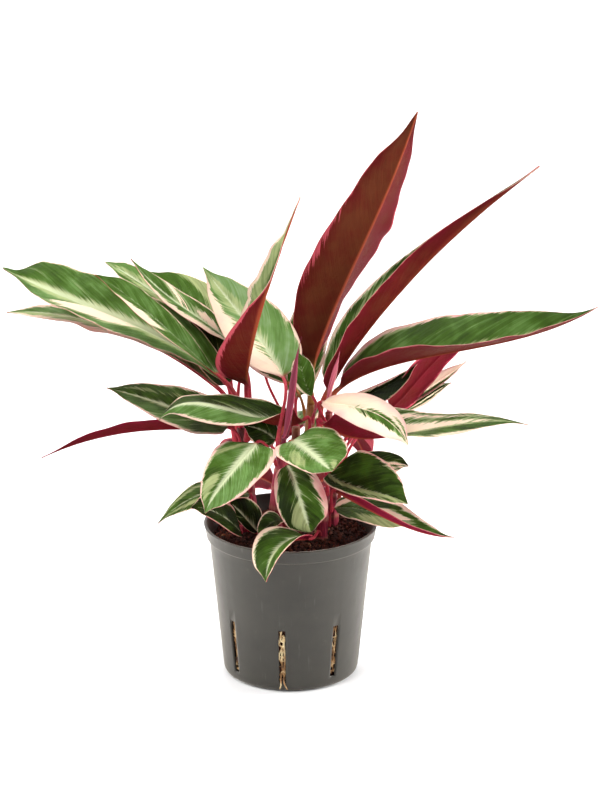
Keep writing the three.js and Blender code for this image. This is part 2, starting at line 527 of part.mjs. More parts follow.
function leafRings(leaf) {
  const rib = through(leaf.rib);
  const length = rib.getLength();
  const grown = lerp(...STALK_RADII, smoothstep(length, ...LEAF_LENGTHS));
  const radius = leaf.rolled ? leaf.half[0] * 0.72 : grown;
  const stem = stalk(leaf, rib, radius);
  const steps = leaf.rolled ? 6 : length > 120 ? 12 : 8;
  const stemSteps = leaf.rolled ? 2 : 3;
  const stations = [];
  for (let i = 0; i < stemSteps; i++) {
    stations.push({ point: stem.getPoint(i / stemSteps), along: stem.getTangent(i / stemSteps), t: 0 });
  }
  for (let i = 0; i <= steps; i++) {
    stations.push({ point: rib.getPoint(i / steps), along: rib.getTangent(i / steps), t: i / steps });
  }
  // The upper side's direction is carried along the leaf from mid-blade, both ways, with no twist.
  const middle = stemSteps + Math.round(steps / 2);
  const carry = (up, station) => {
    station.up = up.clone().addScaledVector(station.along, -up.dot(station.along)).normalize();
    return station.up;
  };
  let up = vec(leaf.face);
  for (let i = middle; i < stations.length; i++) up = carry(up, stations[i]);
  up = vec(leaf.face);
  for (let i = middle; i >= 0; i--) up = carry(up, stations[i]);

  const [knots, turns] = leaf.turn ?? [[0, 1], [0, 0]];
  const turnAt = (t) => {
    const k = Math.max(1, knots.findIndex((knot) => knot >= t));
    return mapLinear(t, knots[k - 1], knots[k], turns[k - 1], turns[k]);
  };
  return stations.map(({ point, along, up: straight, t }) => {
    const n = straight.clone().applyAxisAngle(along, -degToRad(turnAt(t)));
    const left = n.clone().cross(along);
    const flat = leaf.rolled ? 0 : smoothstep(t, 0, 0.07);
    const upper = [];
    const lower = [];
    ACROSS.forEach((u, k) => {
      // The round section of a stalk.
      const a = degToRad(162 - 36 * k);
      const r = leaf.rolled
        ? Math.max(0.5, leaf.half[0] * (t > 0 ? outlineAt(Math.min(t + 0.1, 0.98), leaf.outline) : 0.75))
        : radius;
      const round = (sign) => point.clone()
        .addScaledVector(left, -r * Math.cos(a)).addScaledVector(n, sign * r * Math.sin(a));
      if (flat === 0) {
        upper.push(round(1));
        lower.push(round(-1));
        return;
      }
      // The blade's section.
      const side = u >= 0 ? 0 : 1;
      const sign = u >= 0 ? 1 : -1;
      const bend = smoothstep(t, ...(leaf.bend ?? [0, 0.75]));
      const fold = degToRad(lerp(leaf.fold[0][side], leaf.fold[1][side], bend));
      const shape = leaf.outline[0].length ? leaf.outline[side] : leaf.outline;
      const half = Math.max(1, leaf.half[side] * outlineAt(Math.min(t, 0.992), shape));
      const { out, up: rise, angle } = halfSection(Math.abs(u), half, fold, degToRad(leaf.curl[side]));
      const top = point.clone().addScaledVector(left, sign * out).addScaledVector(n, rise);
      const away = u === 0
        ? n.clone().multiplyScalar(-1 / Math.max(0.5, Math.cos(fold)))
        : n.clone().multiplyScalar(-Math.cos(angle)).addScaledVector(left, sign * Math.sin(angle));
      const depth = u === 0 ? BLADE + KEEL * (1 - t) : BLADE;
      const bottom = top.clone().addScaledVector(away, depth);
      upper.push(round(1).lerp(top, flat));
      lower.push(round(-1).lerp(bottom, flat));
    });
    return [...upper, ...lower.reverse()];
  });
}

// ---------------------------------------------------------------- the plant in its pot

const plant = new THREE.Group();
plant.name = "potted_prayer_plant";
plant.add(meshOf("pot", potGeometry(), "pot"));
plant.add(meshOf("soil", soilGeometry(), "soil"));
plant.add(meshOf("roots", rootsGeometry(), "roots"));
for (const [name, shoot] of Object.entries(SHOOTS)) {
  plant.add(meshOf("shoot_" + name, skin(shootRings(shoot, 0)), "shoot"));
}
for (const [name, leaf] of Object.entries(LEAVES)) {
  plant.add(meshOf("leaf_" + name, skin(leafRings(leaf)), leaf.rolled ? "spear" : "leaf"));
}

export default plant;
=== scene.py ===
import bpy
import math
import numpy as np
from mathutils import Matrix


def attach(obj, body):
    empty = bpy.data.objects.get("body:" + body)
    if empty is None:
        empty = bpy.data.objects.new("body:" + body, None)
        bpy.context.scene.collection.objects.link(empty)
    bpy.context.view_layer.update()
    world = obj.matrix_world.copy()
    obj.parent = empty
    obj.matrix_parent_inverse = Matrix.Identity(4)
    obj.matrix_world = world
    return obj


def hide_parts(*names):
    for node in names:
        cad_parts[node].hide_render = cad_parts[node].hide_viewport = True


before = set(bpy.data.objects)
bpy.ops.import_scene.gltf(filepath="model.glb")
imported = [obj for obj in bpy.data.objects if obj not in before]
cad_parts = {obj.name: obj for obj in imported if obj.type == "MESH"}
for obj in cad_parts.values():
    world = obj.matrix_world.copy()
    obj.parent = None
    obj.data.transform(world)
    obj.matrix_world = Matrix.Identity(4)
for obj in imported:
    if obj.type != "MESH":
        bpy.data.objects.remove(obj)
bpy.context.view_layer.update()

MM = 0.001  # lengths below are in millimetres, +Z up, +Y to the back of the plant

# ------------------------------------------------------------------ sizes

POT_HEIGHT = 116.0
WALL = 1.5
FOOT_RADIUS, FOOT_TOP = 50.4, 3.6  # where the pot's plain wall starts
BAND_RADIUS, BAND_BOTTOM = 60.9, 106.0  # and where its rim band does
SLOTS = 8
SLOT_STEP = 360 / SLOTS
FIRST_SLOT = -97.0  # degrees round from +X
SLOT_WIDTH = 5.3
SLOT_BOTTOM, SLOT_TOP = 8.0, 50.0
SOIL_TOP, SOIL_DOME, DOME_RADIUS = 105.0, 4.0, 58.5
SOIL_GAP = 2.2  # between the wall and the root ball
GRANULES = 1500
JOINT_STEP = 16.0  # along a stem
BLADE = 0.5  # thickness of a leaf blade
KEEL = 1.0  # how far the midrib stands out underneath at the base
GROOVE = 0.35  # how deep it lies above
QUILT = 0.12  # how far a blade swells and sinks between its side veins
VEIN_STEP = 4.3  # between side veins
WAVE_STEP = 17.0  # a blade's edge waves once in about six of these
STALK = (1.1, 2.1)  # radius of the stalk of the shortest and of the longest leaves
STALK_ROWS, BLADE_COLUMNS = 22, 33
CLEAR = 0.3  # between a stalk's foot and its shoot
FLOOR_REACH = 9000
LOOK_DOWN = 18.9  # degrees of the camera below the level
OUTSIDE = -4.0  # of a pale field, where nothing is pale

# Shoots: three points of the axis, and the radius at the foot and at the top.
SHOOTS = {
    "front": (((-12, -8, 82), (-10, -9, 138), (-5, -11, 182)), (5.2, 3.3)),
    "left": (((-26, 20, 82), (-32, 20, 140), (-37, 18, 184)), (5.4, 3.4)),
    "centre": (((10, 22, 82), (13, 22, 148), (15, 20, 202)), (5.4, 3.2)),
    "right": (((31, 20, 82), (31, 15, 148), (28, 2, 202)), (5.0, 2.6)),
    "low_right": (((22, -14, 82), (24, -13, 118), (26, -14, 148)), (4.4, 3.0)),
    "low_left": (((-34, 1, 82), (-34, 1, 104), (-33, 2, 120)), (4.2, 2.8)),
    "left_back": (((-30, 42, 82), (-34, 44, 148), (-40, 45, 190)), (4.8, 3.0)),
    "back": (((2, 38, 82), (3, 42, 138), (4, 44, 176)), (4.8, 3.0)),
}

# How olive the upper part of a stem is, and how far it is darkened there: the second number is painted shade,
# for stems that stand in the shadow of the leaves.
STEM_LOOKS = {"centre": (0.85, 0), "right": (0.3, 0), "left": (0.1, 0.75), "back": (0.6, 0.3),
              "left_back": (0, 0.5)}


def leaf(shoot, foot, half, outline, rib, face, fold=(20, 10), curl=-15, side=None, turn=((0, 1), (0, 0)),
         bend=(0, 0.75)):
    """The shape of a leaf: its shoot and the height of the stalk's foot; its half width; how the
    outline fills out at the base and draws in at the tip; four points of the midrib; where the upper
    side looks at mid-blade. fold: how far a half lifts, in degrees, at the base and at the tip, which
    changes over the stretch bend. curl: how much further it turns by its edge. side: the direction in
    which the stalk leaves the shoot. turn: places along the leaf, below 0 on the stalk, and how far it
    is turned there about its midrib. A pair of values is for the left and the right half."""
    return dict(shoot=shoot, foot=foot, half=half, outline=outline, rib=rib, face=face, fold=fold,
                curl=curl, side=side, turn=turn, bend=bend)


LEAVES = {
    "tall_back": leaf("centre", 202, 33, (0.6, 0.82),
        ((16, 40, 224), (37, 34, 285), (64, 20, 351), (92, 12, 429)), (-0.35, 1, 0.1),
        fold=((60, 15), (42, 12)), curl=-10),
    "tall_right": leaf("centre", 178, (21, 22), (0.65, 1.4),
        ((26, 8, 214), (59, 7, 267), (110, 9, 325), (181, 5, 390)), (-0.72, -0.1, 0.68), fold=(50, 76),
        curl=-5, side=30, turn=((0, 0.5, 0.66, 0.85, 0.95, 1), (0, -8, 16, 16, -30, -75))),
    "right_upper": leaf("right", 188, (34, 24), (0.75, 1.1),
        ((34, 8, 217), (88, 4, 242), (158, 0, 258), (225, -5, 286)), (-0.33, 0, 0.95),
        fold=((36, 57), (44, 27)), curl=(-10, -5)),
    "right_behind": leaf("right", 162, 18, (0.5, 0.8),
        ((73, 45, 190), (91, 50, 207), (112, 55, 229), (140, 55, 247)), (-0.55, 0.75, 0.35),
        fold=((2, 6), (2, 6)), curl=-10),
    "right_pale": leaf("right", 148, 8, (0.6, 0.9),
        ((73, 62, 182), (91, 64, 192), (112, 66, 205), (132, 67, 220)), (-0.4, -0.6, 0.7), fold=(20, 20),
        curl=0),
    "right_shaded": leaf("right", 170, (5, 17), (0.6, 0.9),
        ((36, 28, 200), (54, 33, 204), (74, 38, 212), (94, 42, 226)), (-0.2, -0.5, 0.85), fold=(20, 15),
        curl=-10),
    "right_back": leaf("right", 138, 7.5, (0.6, 0.9),
        ((79, 75, 175), (94, 80, 181), (108, 85, 189), (122, 88, 196)), (-0.2, -0.4, 0.9), curl=0),
    "cream": leaf("right", 188, (12, 21), (0.8, 0.8),
        ((23, -10, 214), (45, -28, 217), (68, -45, 214), (86, -54, 195)), (0, -0.4, 0.9),
        fold=((50, 30), (30, 8)), side=-110),
    "right_low": leaf("right", 168, (26, 28), (0.45, 1.15),
        ((23, -6, 197), (63, -20, 190), (117, -27, 202), (175, -27, 202)), (-0.05, -0.17, 0.98),
        fold=((60, 80), (10, 6)), curl=-10),
    "front_round": leaf("front", 174, (27, 24), (0.45, 0.6),
        ((1, -25, 189), (11, -47, 190), (21, -69, 189), (30, -85, 187)), (0, -0.35, 0.94),
        fold=((35, 15), (20, 12)), curl=-20),
    "front_left": leaf("front", 166, (25, 24), ((0.38, 0.8), (0.2, 0.8)),
        ((-25, -30, 189), (-38, -52, 181), (-52, -68, 168), (-62, -78, 152)), (-0.2, -0.6, 0.75),
        fold=((18, 0), (15, 20))),
    "front_lower": leaf("front", 156, (19, 18), (0.6, 0.45),
        ((-3, -20, 168), (3, -40, 162), (9, -50, 145), (15, -50, 127)), (0, -0.93, 0.35), curl=-20),
    "over_rim": leaf("low_right", 112, 19, (0.6, 0.8),
        ((13, -44, 119), (-3, -60, 123), (-14, -72, 115), (-18, -77, 98)), (-0.3, -0.6, 0.7),
        fold=((45, 15), (50, 15))),
    "by_rim": leaf("front", 112, 9, (0.6, 0.8),
        ((-5, -15, 120), (-10, -26, 127), (-17, -37, 127), (-24, -47, 120)), (-0.2, -0.5, 0.8),
        fold=((20, 45), (15, 45)), curl=-10),
    "left_big": leaf("centre", 164, (20, 28), ((0.45, 0.85), (0.75, 0.85)),
        ((10, 6, 195), (-22, -8, 199), (-62, -32, 220), (-96, -44, 212)), (0.1, -0.25, 0.96),
        fold=((92, 30), (-42, -20)), curl=-10, side=-100, bend=(0.05, 0.8)),
    "left_dark": leaf("left", 156, 25, (0.6, 1),
        ((-46, 4, 189), (-72, 3, 199), (-104, 3, 211), (-136, 2, 221)), (0.3, -0.35, 0.9), fold=((20, 15), 8),
        curl=-10, side=245),
    "left_purple": leaf("left", 146, (9, 10), (0.9, 1.2),
        ((-50, 14, 187), (-84, 18, 184), (-130, 26, 177), (-187, 30, 156)), (0, 0.6, 0.8), fold=(30, 40),
        curl=0, side=215),
    "left_long": leaf("left", 166, (28, 32), (0.7, 0.5),
        ((-47, 22, 217), (-97, 18, 255), (-155, 14, 283), (-211, 10, 311)), (0.2, -0.45, 0.85),
        fold=(35, (30, 8)), side=120),
    "left_under": leaf("left_back", 164, (22, 14), ((1.4, 0.75), (0.7, 0.9)),
        ((-54, 30, 211), (-107, 36, 245), (-162, 38, 264), (-211, 38, 268)), (0.2, -0.2, 0.95), fold=(30, 20),
        curl=-10),
    "left_third": leaf("left", 184, (12, 13), (1.3, 0.85),
        ((-54, 6, 230), (-78, 0, 255), (-109, -8, 287), (-142, -16, 314)), (0.35, -0.45, 0.82),
        fold=((20, 30), (15, 20)), curl=-10),
    "left_shade": leaf("left_back", 188, (20, 17), (0.5, 0.7),
        ((-47, 40, 209), (-58, 43, 231), (-73, 47, 250), (-88, 51, 268)), (0.4, -0.55, 0.75), curl=-10),
    "left_high_1": leaf("left_back", 176, 12, (0.6, 0.6),
        ((-57, 68, 234), (-84, 72, 258), (-112, 75, 279), (-139, 77, 295)), (0.3, -0.45, 0.82), fold=(25, 15),
        curl=-10),
    "left_high_2": leaf("left", 174, 12, (0.6, 0.9),
        ((-46, 34, 247), (-69, 33, 266), (-94, 33, 285), (-118, 34, 311)), (0.3, -0.45, 0.82), fold=(25, 15),
        curl=-10, side=60),
    "left_high_3": leaf("left_back", 190, 20, (0.55, 0.85),
        ((-44, 56, 240), (-62, 60, 261), (-82, 63, 277), (-106, 66, 291)), (0.3, -0.45, 0.85),
        fold=(20, (12, 15)), curl=-10),
    "curled": leaf("left", 176, (16, 25), ((0.8, 1.2), (0.7, 3.2)),
        ((-33, 13, 219), (-27, -22, 266), (-15, -39, 316), (7, -38, 379)), (-0.9, 0.2, 0.3),
        fold=((85, 60), (35, 70)), curl=20, side=-60,
        turn=((0, 0.52, 0.68, 0.78, 0.86, 0.94, 1), (0, 0, -75, -80, 10, 10, -70))),
    "centre_light": leaf("front", 172, (25, 27), (0.5, 0.85),
        ((-5, -7, 231), (-21, 21, 250), (-41, 30, 274), (-65, 38, 303)), (0.3, -0.75, 0.5),
        fold=((25, 15), (10, 8)), side=240),
    "centre_under": leaf("centre", 190, 10, (0.6, 0.8),
        ((-2, 19, 219), (-16, 22, 228), (-29, 26, 236), (-42, 30, 243)), (0.2, -0.6, 0.75), fold=(25, 15),
        curl=-5, side=130),
    "spear": leaf("front", 182, 3.3, (0.35, 0.5),
        ((-3, -25, 196), (0, -26, 219), (3, -26, 244), (8, -25, 269)), (0, -1, 0)),
    "centre_small": leaf("centre", 188, 9, (1.0, 0.8),
        ((16, -3, 216), (11, -6, 227), (8, -7, 239), (6, -7, 251)), (0.2, -0.95, 0.2), fold=(25, 15),
        curl=-10, side=-75),
    "spear_pink": leaf("right", 202, 2.4, (0.3, 0.3),
        ((28, -4, 212), (30, -6, 226), (33, -7, 239), (36, -8, 252)), (0, -1, 0)),
    "right_small": leaf("right", 128, (9, 14), (0.55, 0.7),
        ((40, 10, 153), (55, 14, 158), (73, 16, 159), (88, 14, 155)), (0, -0.6, 0.8), fold=((8, 5), 0),
        curl=(-10, -15)),
    "right_lower": leaf("low_right", 144, (28, 15), (0.42, 0.7),
        ((28, -22, 163), (44, -34, 158), (66, -44, 155), (86, -46, 147)), (0.1, -0.5, 0.85),
        fold=((35, 30), (20, 25))),
    "right_lowest": leaf("low_right", 130, (20, 9), (0.6, 1.1),
        ((33, -17, 147), (52, -25, 139), (85, -36, 126), (121, -40, 119)), (0.2, -0.1, 0.97),
        fold=((20, 70), (30, 50)), curl=-5),
    "right_grey": leaf("low_right", 116, 17, (0.55, 0.7),
        ((32, -7, 129), (48, -8, 130), (67, -10, 125), (86, -12, 117)), (0.15, -0.25, 0.95), fold=(15, 8)),
    "left_low_1": leaf("low_left", 121, (17, 14), (0.55, 0.9),
        ((-30, 4, 136), (-50, -1, 142), (-74, -6, 137), (-99, -9, 118)), (-0.05, -0.3, 0.95), fold=(20, 12)),
    "left_low_2": leaf("low_left", 110, (12, 19), (0.55, 0.7),
        ((-37, -26, 118), (-44, -35, 129), (-57, -44, 141), (-73, -48, 145)), (0.3, -0.4, 0.85), fold=(12, 8),
        side=225),
    "left_low_3": leaf("low_left", 109, (7, 16), (0.55, 0.7),
        ((-24, -12, 112), (-31, -13, 121), (-38, -14, 129.5), (-45, -15, 137)), (0.5, -0.6, 0.6),
        fold=(12, 8), side=-60),
    "inner_shade": leaf("front", 160, 14, (0.55, 0.7),
        ((-11, 0, 181), (-18, -1, 187), (-26, -2, 191), (-35, -3, 193)), (0.2, -0.6, 0.75), fold=(15, 8)),
    "back_left": leaf("back", 142, 18, (0.55, 0.8),
        ((-14, 54, 156), (-30, 80, 156), (-43, 105, 141), (-50, 126, 116)), (-0.3, 0.4, 0.85)),
    "back_middle": leaf("back", 164, 24, (0.55, 0.8),
        ((4, 60, 170), (2, 92, 170), (-4, 124, 154), (-8, 150, 122)), (0, 0.35, 0.93)),
    "back_right": leaf("back", 148, 20, (0.55, 0.8),
        ((14, 56, 166), (32, 86, 164), (48, 112, 146), (58, 132, 116)), (0.3, 0.4, 0.85)),
    "back_tall": leaf("back", 174, 17, (0.55, 0.9),
        ((4, 57, 193), (10, 66, 227), (18, 70, 261), (30, 70, 295)), (-0.2, -0.95, 0.2), fold=(25, 12)),
    "back_inner": leaf("back", 168, 16, (0.55, 0.8),
        ((-20, 62, 214), (-25, 69, 234), (-31, 74, 252), (-38, 78, 270)), (0.3, -0.8, 0.4), fold=(25, 12)),
    "back_low_left": leaf("back", 118, 22, (0.3, 0.8),
        ((-10, 58, 124), (-27, 74, 126), (-40, 90, 118), (-50, 106, 102)), (-0.2, 0.8, 0.55),
        turn=((0, 1), (-28, -28))),
    "back_low_right": leaf("back", 126, 22, (0.3, 0.8),
        ((14, 52, 124), (28, 66, 128), (41, 84, 122), (52, 98, 106)), (0.2, 0.8, 0.55),
        turn=((0, 1), (28, 28))),
}

# Colouring of the leaves. green: 0 is nearly black, 1 is light grey-green. rib: strength and width of
# the pale feather along the midrib. left, right: how wide the pale margin is, all along or at the
# base, the middle and the tip, as a share of the half width. blush: 0 cream to 1 pink. under: 0 brown
# to 1 crimson beneath. keel: how much the midrib shows beneath. stalk: 0 crimson to 1 olive. point:
# how finely the tip is drawn out. wave: how much the edge waves. bands: pale streaks that follow the
# side veins, as (side, start, end, inner, outer), with start and end along the midrib and inner and
# outer across the half; where the ground is cream they are green. washes: the same in pale green.
# A pair of values is for the left and the right half. USUAL_LOOK is what a leaf has where it says
# nothing else.
USUAL_LOOK = dict(green=0.4, rib=(0.15, 0.08), left=0.0, right=0.0, blush=0.3, under=0.6, keel=0.5, stalk=0.15,
                  point=0.4, wave=1.0, ground="green", bands=(), washes=())
L, R = 1, -1
LOOKS = {
    "tall_back": dict(green=0.34, rib=(0.7, 0.16), left=(0.08, 0.05, 0.03), right=(0, 0.02, 0.02),
        under=(0.4, 0.05), stalk=0.9, bands=((R, 0.08, 0.36, 0.9, 1.1),),
        washes=((L, 0.2, 0.5, 0.2, 0.9), (R, 0.5, 0.8, 0.1, 0.8))),
    "tall_right": dict(left=(0.13, 0.05, 0.03), right=0.02, under=0.36, keel=0.2, stalk=0.5, point=0.0,
        washes=((L, 0.15, 0.8, 0.4, 0.75),)),
    "right_upper": dict(green=0.46, rib=(0.5, 0.1), left=(0.22, 0.05, 0.01), right=0.04, blush=0.75,
        under=0.3, keel=0.3, stalk=0.6, washes=((L, 0.1, 1.3, -0.3, 0.1),)),
    "right_behind": dict(green=0.3, left=0.12, right=0.1, under=0.56, keel=0.0),
    "right_pale": dict(green=0.45, ground="cream", blush=0.72, under=0.9, bands=((R, 0.1, 0.8, 0.3, 0.8),)),
    # Painted shade: the very low green of this leaf stands in for the shadow it lies in.
    "right_shaded": dict(green=0.04, left=(0.5, 0.5, 0.3), right=0.05, blush=0.9),
    "right_back": dict(green=0.18, left=0.1, right=(0.35, 0.3, 0.2), blush=0.5,
        bands=((R, 0.1, 0.9, 0.1, 0.3), (L, 0.0, 0.9, 0.4, 0.6))),
    "cream": dict(ground="cream", blush=0.6, under=0.95,
        bands=((R, 0.3, 0.98, -0.1, 0.42), (L, 0.44, 0.95, -0.1, 0.22), (L, 0.62, 0.96, 0.4, 0.66))),
    "right_low": dict(green=0.38, rib=(0.5, 0.1), left=(0.05, 0.05, 0.1), right=(0.05, 0.05, 0.08),
        blush=0.15, under=0.7,
        bands=((L, 0.0, 0.75, -0.1, 0.32), (L, -0.1, 0.5, 0.64, 0.78), (R, 0.3, 0.62, 0.82, 1.1)),
        washes=((L, 0.0, 1.0, -0.3, 0.36), (R, 0.0, 1.2, -0.3, 0.2))),
    "front_round": dict(green=(0.48, 0.58), rib=(1.1, 0.24), left=(0.05, 0.04, 0.03), right=(0.2, 0.08, 0.03),
        blush=0.5, stalk=0.5, point=0.2, wave=1.6,
        washes=((R, 0.14, 0.42, 0.3, 0.9), (L, 0.66, 0.9, 0.2, 0.7))),
    "front_left": dict(green=(0.54, 0.44), rib=(1.1, 0.22), left=(0.14, 0.1, 0.06), right=(0.12, 0.08, 0.1),
        blush=0.65, under=0.8, washes=((R, 0.4, 0.72, 0.25, 0.8), (R, -0.1, 0.0, 0.2, 1.1))),
    "front_lower": dict(green=(0.3, 0.24), rib=(1.0, 0.2), left=(0.12, 0.28, 0.07), right=(0.3, 0.1, 0.05),
        blush=0.85, under=0.8, washes=((R, 0.46, 1.05, -0.1, 0.8),)),
    "over_rim": dict(green=(0.34, 0.3), rib=(1.0, 0.18), left=(0.1, 0.08, 0.08), right=(0.14, 0.14, 0.1),
        under=0.8, washes=((L, 0.3, 0.8, -0.2, 0.2),)),
    "by_rim": dict(green=0.25, rib=(0.4, 0.12), left=(0.12, 0.12, 0.1), right=(0.12, 0.12, 0.1), blush=0.4),
    # Painted shade: the right half's green of 0.2 and the underside's under of 0.4 stand in for the shadow
    # these parts lie in.
    "left_big": dict(green=(0.54, 0.2), rib=(1.3, 0.26), left=(0.06, 0.12, 0.2), right=(0.03, 0.05, 0.1),
        under=0.4, keel=0.0, point=0.5),
    "left_dark": dict(green=(0.42, 0.3), rib=(0.9, 0.16), left=(0.1, 0.1, 0.08), right=(0.08, 0.08, 0.05),
        blush=0.4, under=0.7, washes=((L, 0.3, 1.2, -0.1, 0.14), (R, 0.3, 1.0, 0.5, 0.6))),
    "left_purple": dict(green=0.3, under=0.55, keel=0.0, wave=3.0),
    "left_long": dict(green=(0.6, 0.46), rib=(1.3, 0.22), left=(0.04, 0.04, 0.02), right=0.02, blush=0.2,
        point=0.75, bands=((L, 0.4, 0.64, -0.05, 0.8),),
        washes=((L, -0.2, 1.3, -0.3, 0.4), (R, -0.2, 1.2, -0.3, 0.16))),
    "left_under": dict(green=0.6, rib=(0.9, 0.25), left=(0.3, 0.34, 0.4), right=(0.2, 0.25, 0.3), blush=0.1,
        under=0.5, washes=((L, 0.3, 1.2, 0.1, 0.6),)),
    "left_third": dict(green=0.5, rib=(0.4, 0.1), left=(0.03, 0.04, 0.02), right=0.02, blush=0.1,
        bands=((L, 0.36, 0.66, 0.4, 1.1),)),
    # Painted shade: the low green of this leaf stands in for the shadow it lies in.
    "left_shade": dict(green=0.14, rib=(0.2, 0.1), left=0.02, right=0.02),
    "left_high_1": dict(green=0.6, rib=(1.1, 0.25), left=(0.2, 0.16, 0.1), right=0.06, blush=0.1,
        washes=((L, 0.0, 1.2, 0.2, 0.5), (R, 0.0, 1.0, 0.1, 0.4))),
    "left_high_2": dict(green=0.52, rib=(0.9, 0.2), left=(0.5, 0.4, 0.2), right=(0.08, 0.06, 0.04), blush=0.2,
        bands=((R, 0.1, 0.3, 0.0, 0.5), (R, 0.42, 0.5, 0.1, 1.1))),
    "left_high_3": dict(green=0.42, rib=(0.3, 0.1), left=(0.4, 0.3, 0.1), right=0.04, blush=0.0,
        washes=((R, -0.5, 0.5, 0.2, 1.1), (R, -0.5, 0.3, -0.3, 0.6))),
    "curled": dict(green=0.56, left=(0.16, 0.18, 0.3), right=(0.16, 0.13, 0.3), under=0.3, keel=0.6,
        point=0.0, washes=((L, 0.2, 1.1, 0.1, 0.9), (R, 0.2, 1.1, 0.2, 0.9))),
    "centre_light": dict(green=(0.66, 0.68), rib=(1.0, 0.16), left=(1.0, 0.66, 0.2), right=(0.08, 0.05, 0.03),
        under=0.5, washes=((R, 0.3, 1.4, -0.3, 0.3), (L, 0.6, 1.4, -0.3, 0.5))),
    "centre_under": dict(green=0.3, left=(0.3, 0.3, 0.2), right=(0.3, 0.3, 0.2), blush=0.8, under=0.8,
        stalk=0.85),
    "centre_small": dict(green=0.42, rib=(0.3, 0.15), left=(0.3, 0.2, 0.1), right=0.06, blush=0.2),
    "right_small": dict(green=(0.16, 0.24), left=0.04, right=(0.1, 0.1, 0.12), stalk=0.5,
        bands=((R, 0.0, 1.4, 0.12, 0.3), (R, 0.1, 1.3, 0.48, 0.62), (R, 0.2, 1.2, 0.8, 1.1))),
    "right_lower": dict(green=(0.26, 0.28), rib=(0.4, 0.08), left=(0.04, 0.05, 0.12), right=(0.08, 0.1, 0.25),
        blush=0.6, under=0.8, washes=((R, -0.3, 1.4, -0.3, 0.52), (R, 0.4, 1.2, 0.62, 0.85))),
    "right_lowest": dict(green=0.34, left=(0.3, 0.2, 0.16), right=0.1, blush=0.5, under=0.95,
        bands=((L, 0.0, 0.2, 0.1, 0.7), (L, 0.4, 0.6, 0.0, 0.5))),
    "right_grey": dict(green=0.42, rib=(0.3, 0.1), left=(0.06, 0.05, 0.05), right=(0.06, 0.05, 0.05),
        blush=0.5, bands=((L, -0.1, 0.12, 0.1, 0.9),),
        washes=((L, 0.2, 1.4, 0.1, 1.1), (R, 0.1, 1.4, 0.2, 1.1))),
    "left_low_1": dict(green=0.36, rib=(0.6, 0.16), left=(0.1, 0.08, 0.06), right=0.06, blush=0.2,
        bands=((L, 0.3, 0.42, 0.2, 1.1), (R, 0.2, 0.28, 0.1, 1.1)),
        washes=((L, 0.0, 1.2, 0.3, 0.6), (R, 0.3, 1.1, 0.5, 0.8))),
    "left_low_2": dict(green=0.14, rib=(0.5, 0.12), left=0.06, right=(0.14, 0.12, 0.08), blush=0.8),
    "left_low_3": dict(green=0.14, rib=(0.8, 0.2), left=0.05, right=0.05, blush=0.4),
    # Painted shade: the low green of this leaf stands in for the shadow it lies in.
    "inner_shade": dict(green=0.16, rib=(0.6, 0.16), left=0.04, right=0.04),
    "back_left": dict(rib=(0.8, 0.18), left=(0.12, 0.1, 0.08), right=(0.2, 0.1, 0.08), blush=0.4,
        bands=((L, 0.2, 0.34, 0.0, 1.1),)),
    "back_middle": dict(green=0.34, rib=(0.9, 0.18), left=(0.12, 0.12, 0.08), right=(0.1, 0.1, 0.08),
        bands=((R, 0.35, 0.5, 0.1, 1.1),)),
    "back_right": dict(green=0.5, rib=(0.8, 0.18), left=(0.2, 0.12, 0.08), right=(0.12, 0.1, 0.08), blush=0.4,
        bands=((L, 0.1, 0.2, 0.2, 1.1), (R, 0.5, 0.62, 0.0, 1.1))),
    "back_tall": dict(green=0.44, rib=(0.6, 0.16), left=(0.12, 0.1, 0.05), right=(0.1, 0.1, 0.05), blush=0.4),
    "back_inner": dict(green=0.3, rib=(0.6, 0.16), left=(0.12, 0.1, 0.05), right=(0.1, 0.1, 0.05), blush=0.5),
    "back_low_left": dict(green=0.3, rib=(0.7, 0.16), left=(0.12, 0.1, 0.08), right=(0.1, 0.1, 0.08),
        blush=0.4),
    "back_low_right": dict(rib=(0.7, 0.16), left=(0.1, 0.1, 0.08), right=(0.16, 0.1, 0.08), blush=0.5),
}

# ------------------------------------------------------------------ numbers and meshes


def smoothstep(x, low, high):
    """3s^2 - 2s^3, where s runs from 0 at low to 1 at high."""
    s = np.clip((x - low) / (high - low), 0, 1)
    return s * s * (3 - 2 * s)


def unit(a):
    """Each row divided by its own length."""
    return a / np.linalg.norm(a, axis=-1, keepdims=True)


def turns(sides):
    """Evenly spaced angles once round."""
    return np.arange(sides) * 2 * np.pi / sides


def spread(value, count=2):
    """One number as several equal ones; several are left as they are."""
    return value if isinstance(value, tuple) else (value,) * count


def mesh_piece(name, shape, finishes, fields=None, smooth=True):
    """A mesh object at the origin from its points in millimetres, four- and three-sided faces, its
    finishes, and named numbers for each point."""
    points, quads, triangles = shape
    mesh = bpy.data.meshes.new(name)
    mesh.vertices.add(len(points))
    mesh.vertices.foreach_set("co", (points * MM).astype(np.float32).ravel())
    corners = np.concatenate([quads.ravel(), triangles.ravel()]).astype(np.int32)
    mesh.loops.add(len(corners))
    mesh.loops.foreach_set("vertex_index", corners)
    starts = np.concatenate([np.arange(len(quads)) * 4,
                             len(quads) * 4 + np.arange(len(triangles)) * 3]).astype(np.int32)
    mesh.polygons.add(len(starts))
    mesh.polygons.foreach_set("loop_start", starts)
    mesh.update(calc_edges=True)
    mesh.validate()
    mesh.polygons.foreach_set("use_smooth", np.full(len(mesh.polygons), smooth))
    for key, values in (fields or {}).items():
        values = np.asarray(values, np.float32)
        kind, part = ("FLOAT", "value") if values.ndim == 1 else ("FLOAT_VECTOR", "vector")
        mesh.attributes.new(key, kind, "POINT").data.foreach_set(part, values.ravel())
    for finish in finishes:
        mesh.materials.append(finish)
    piece = bpy.data.objects.new(name, mesh)
    bpy.context.scene.collection.objects.link(piece)
    return piece


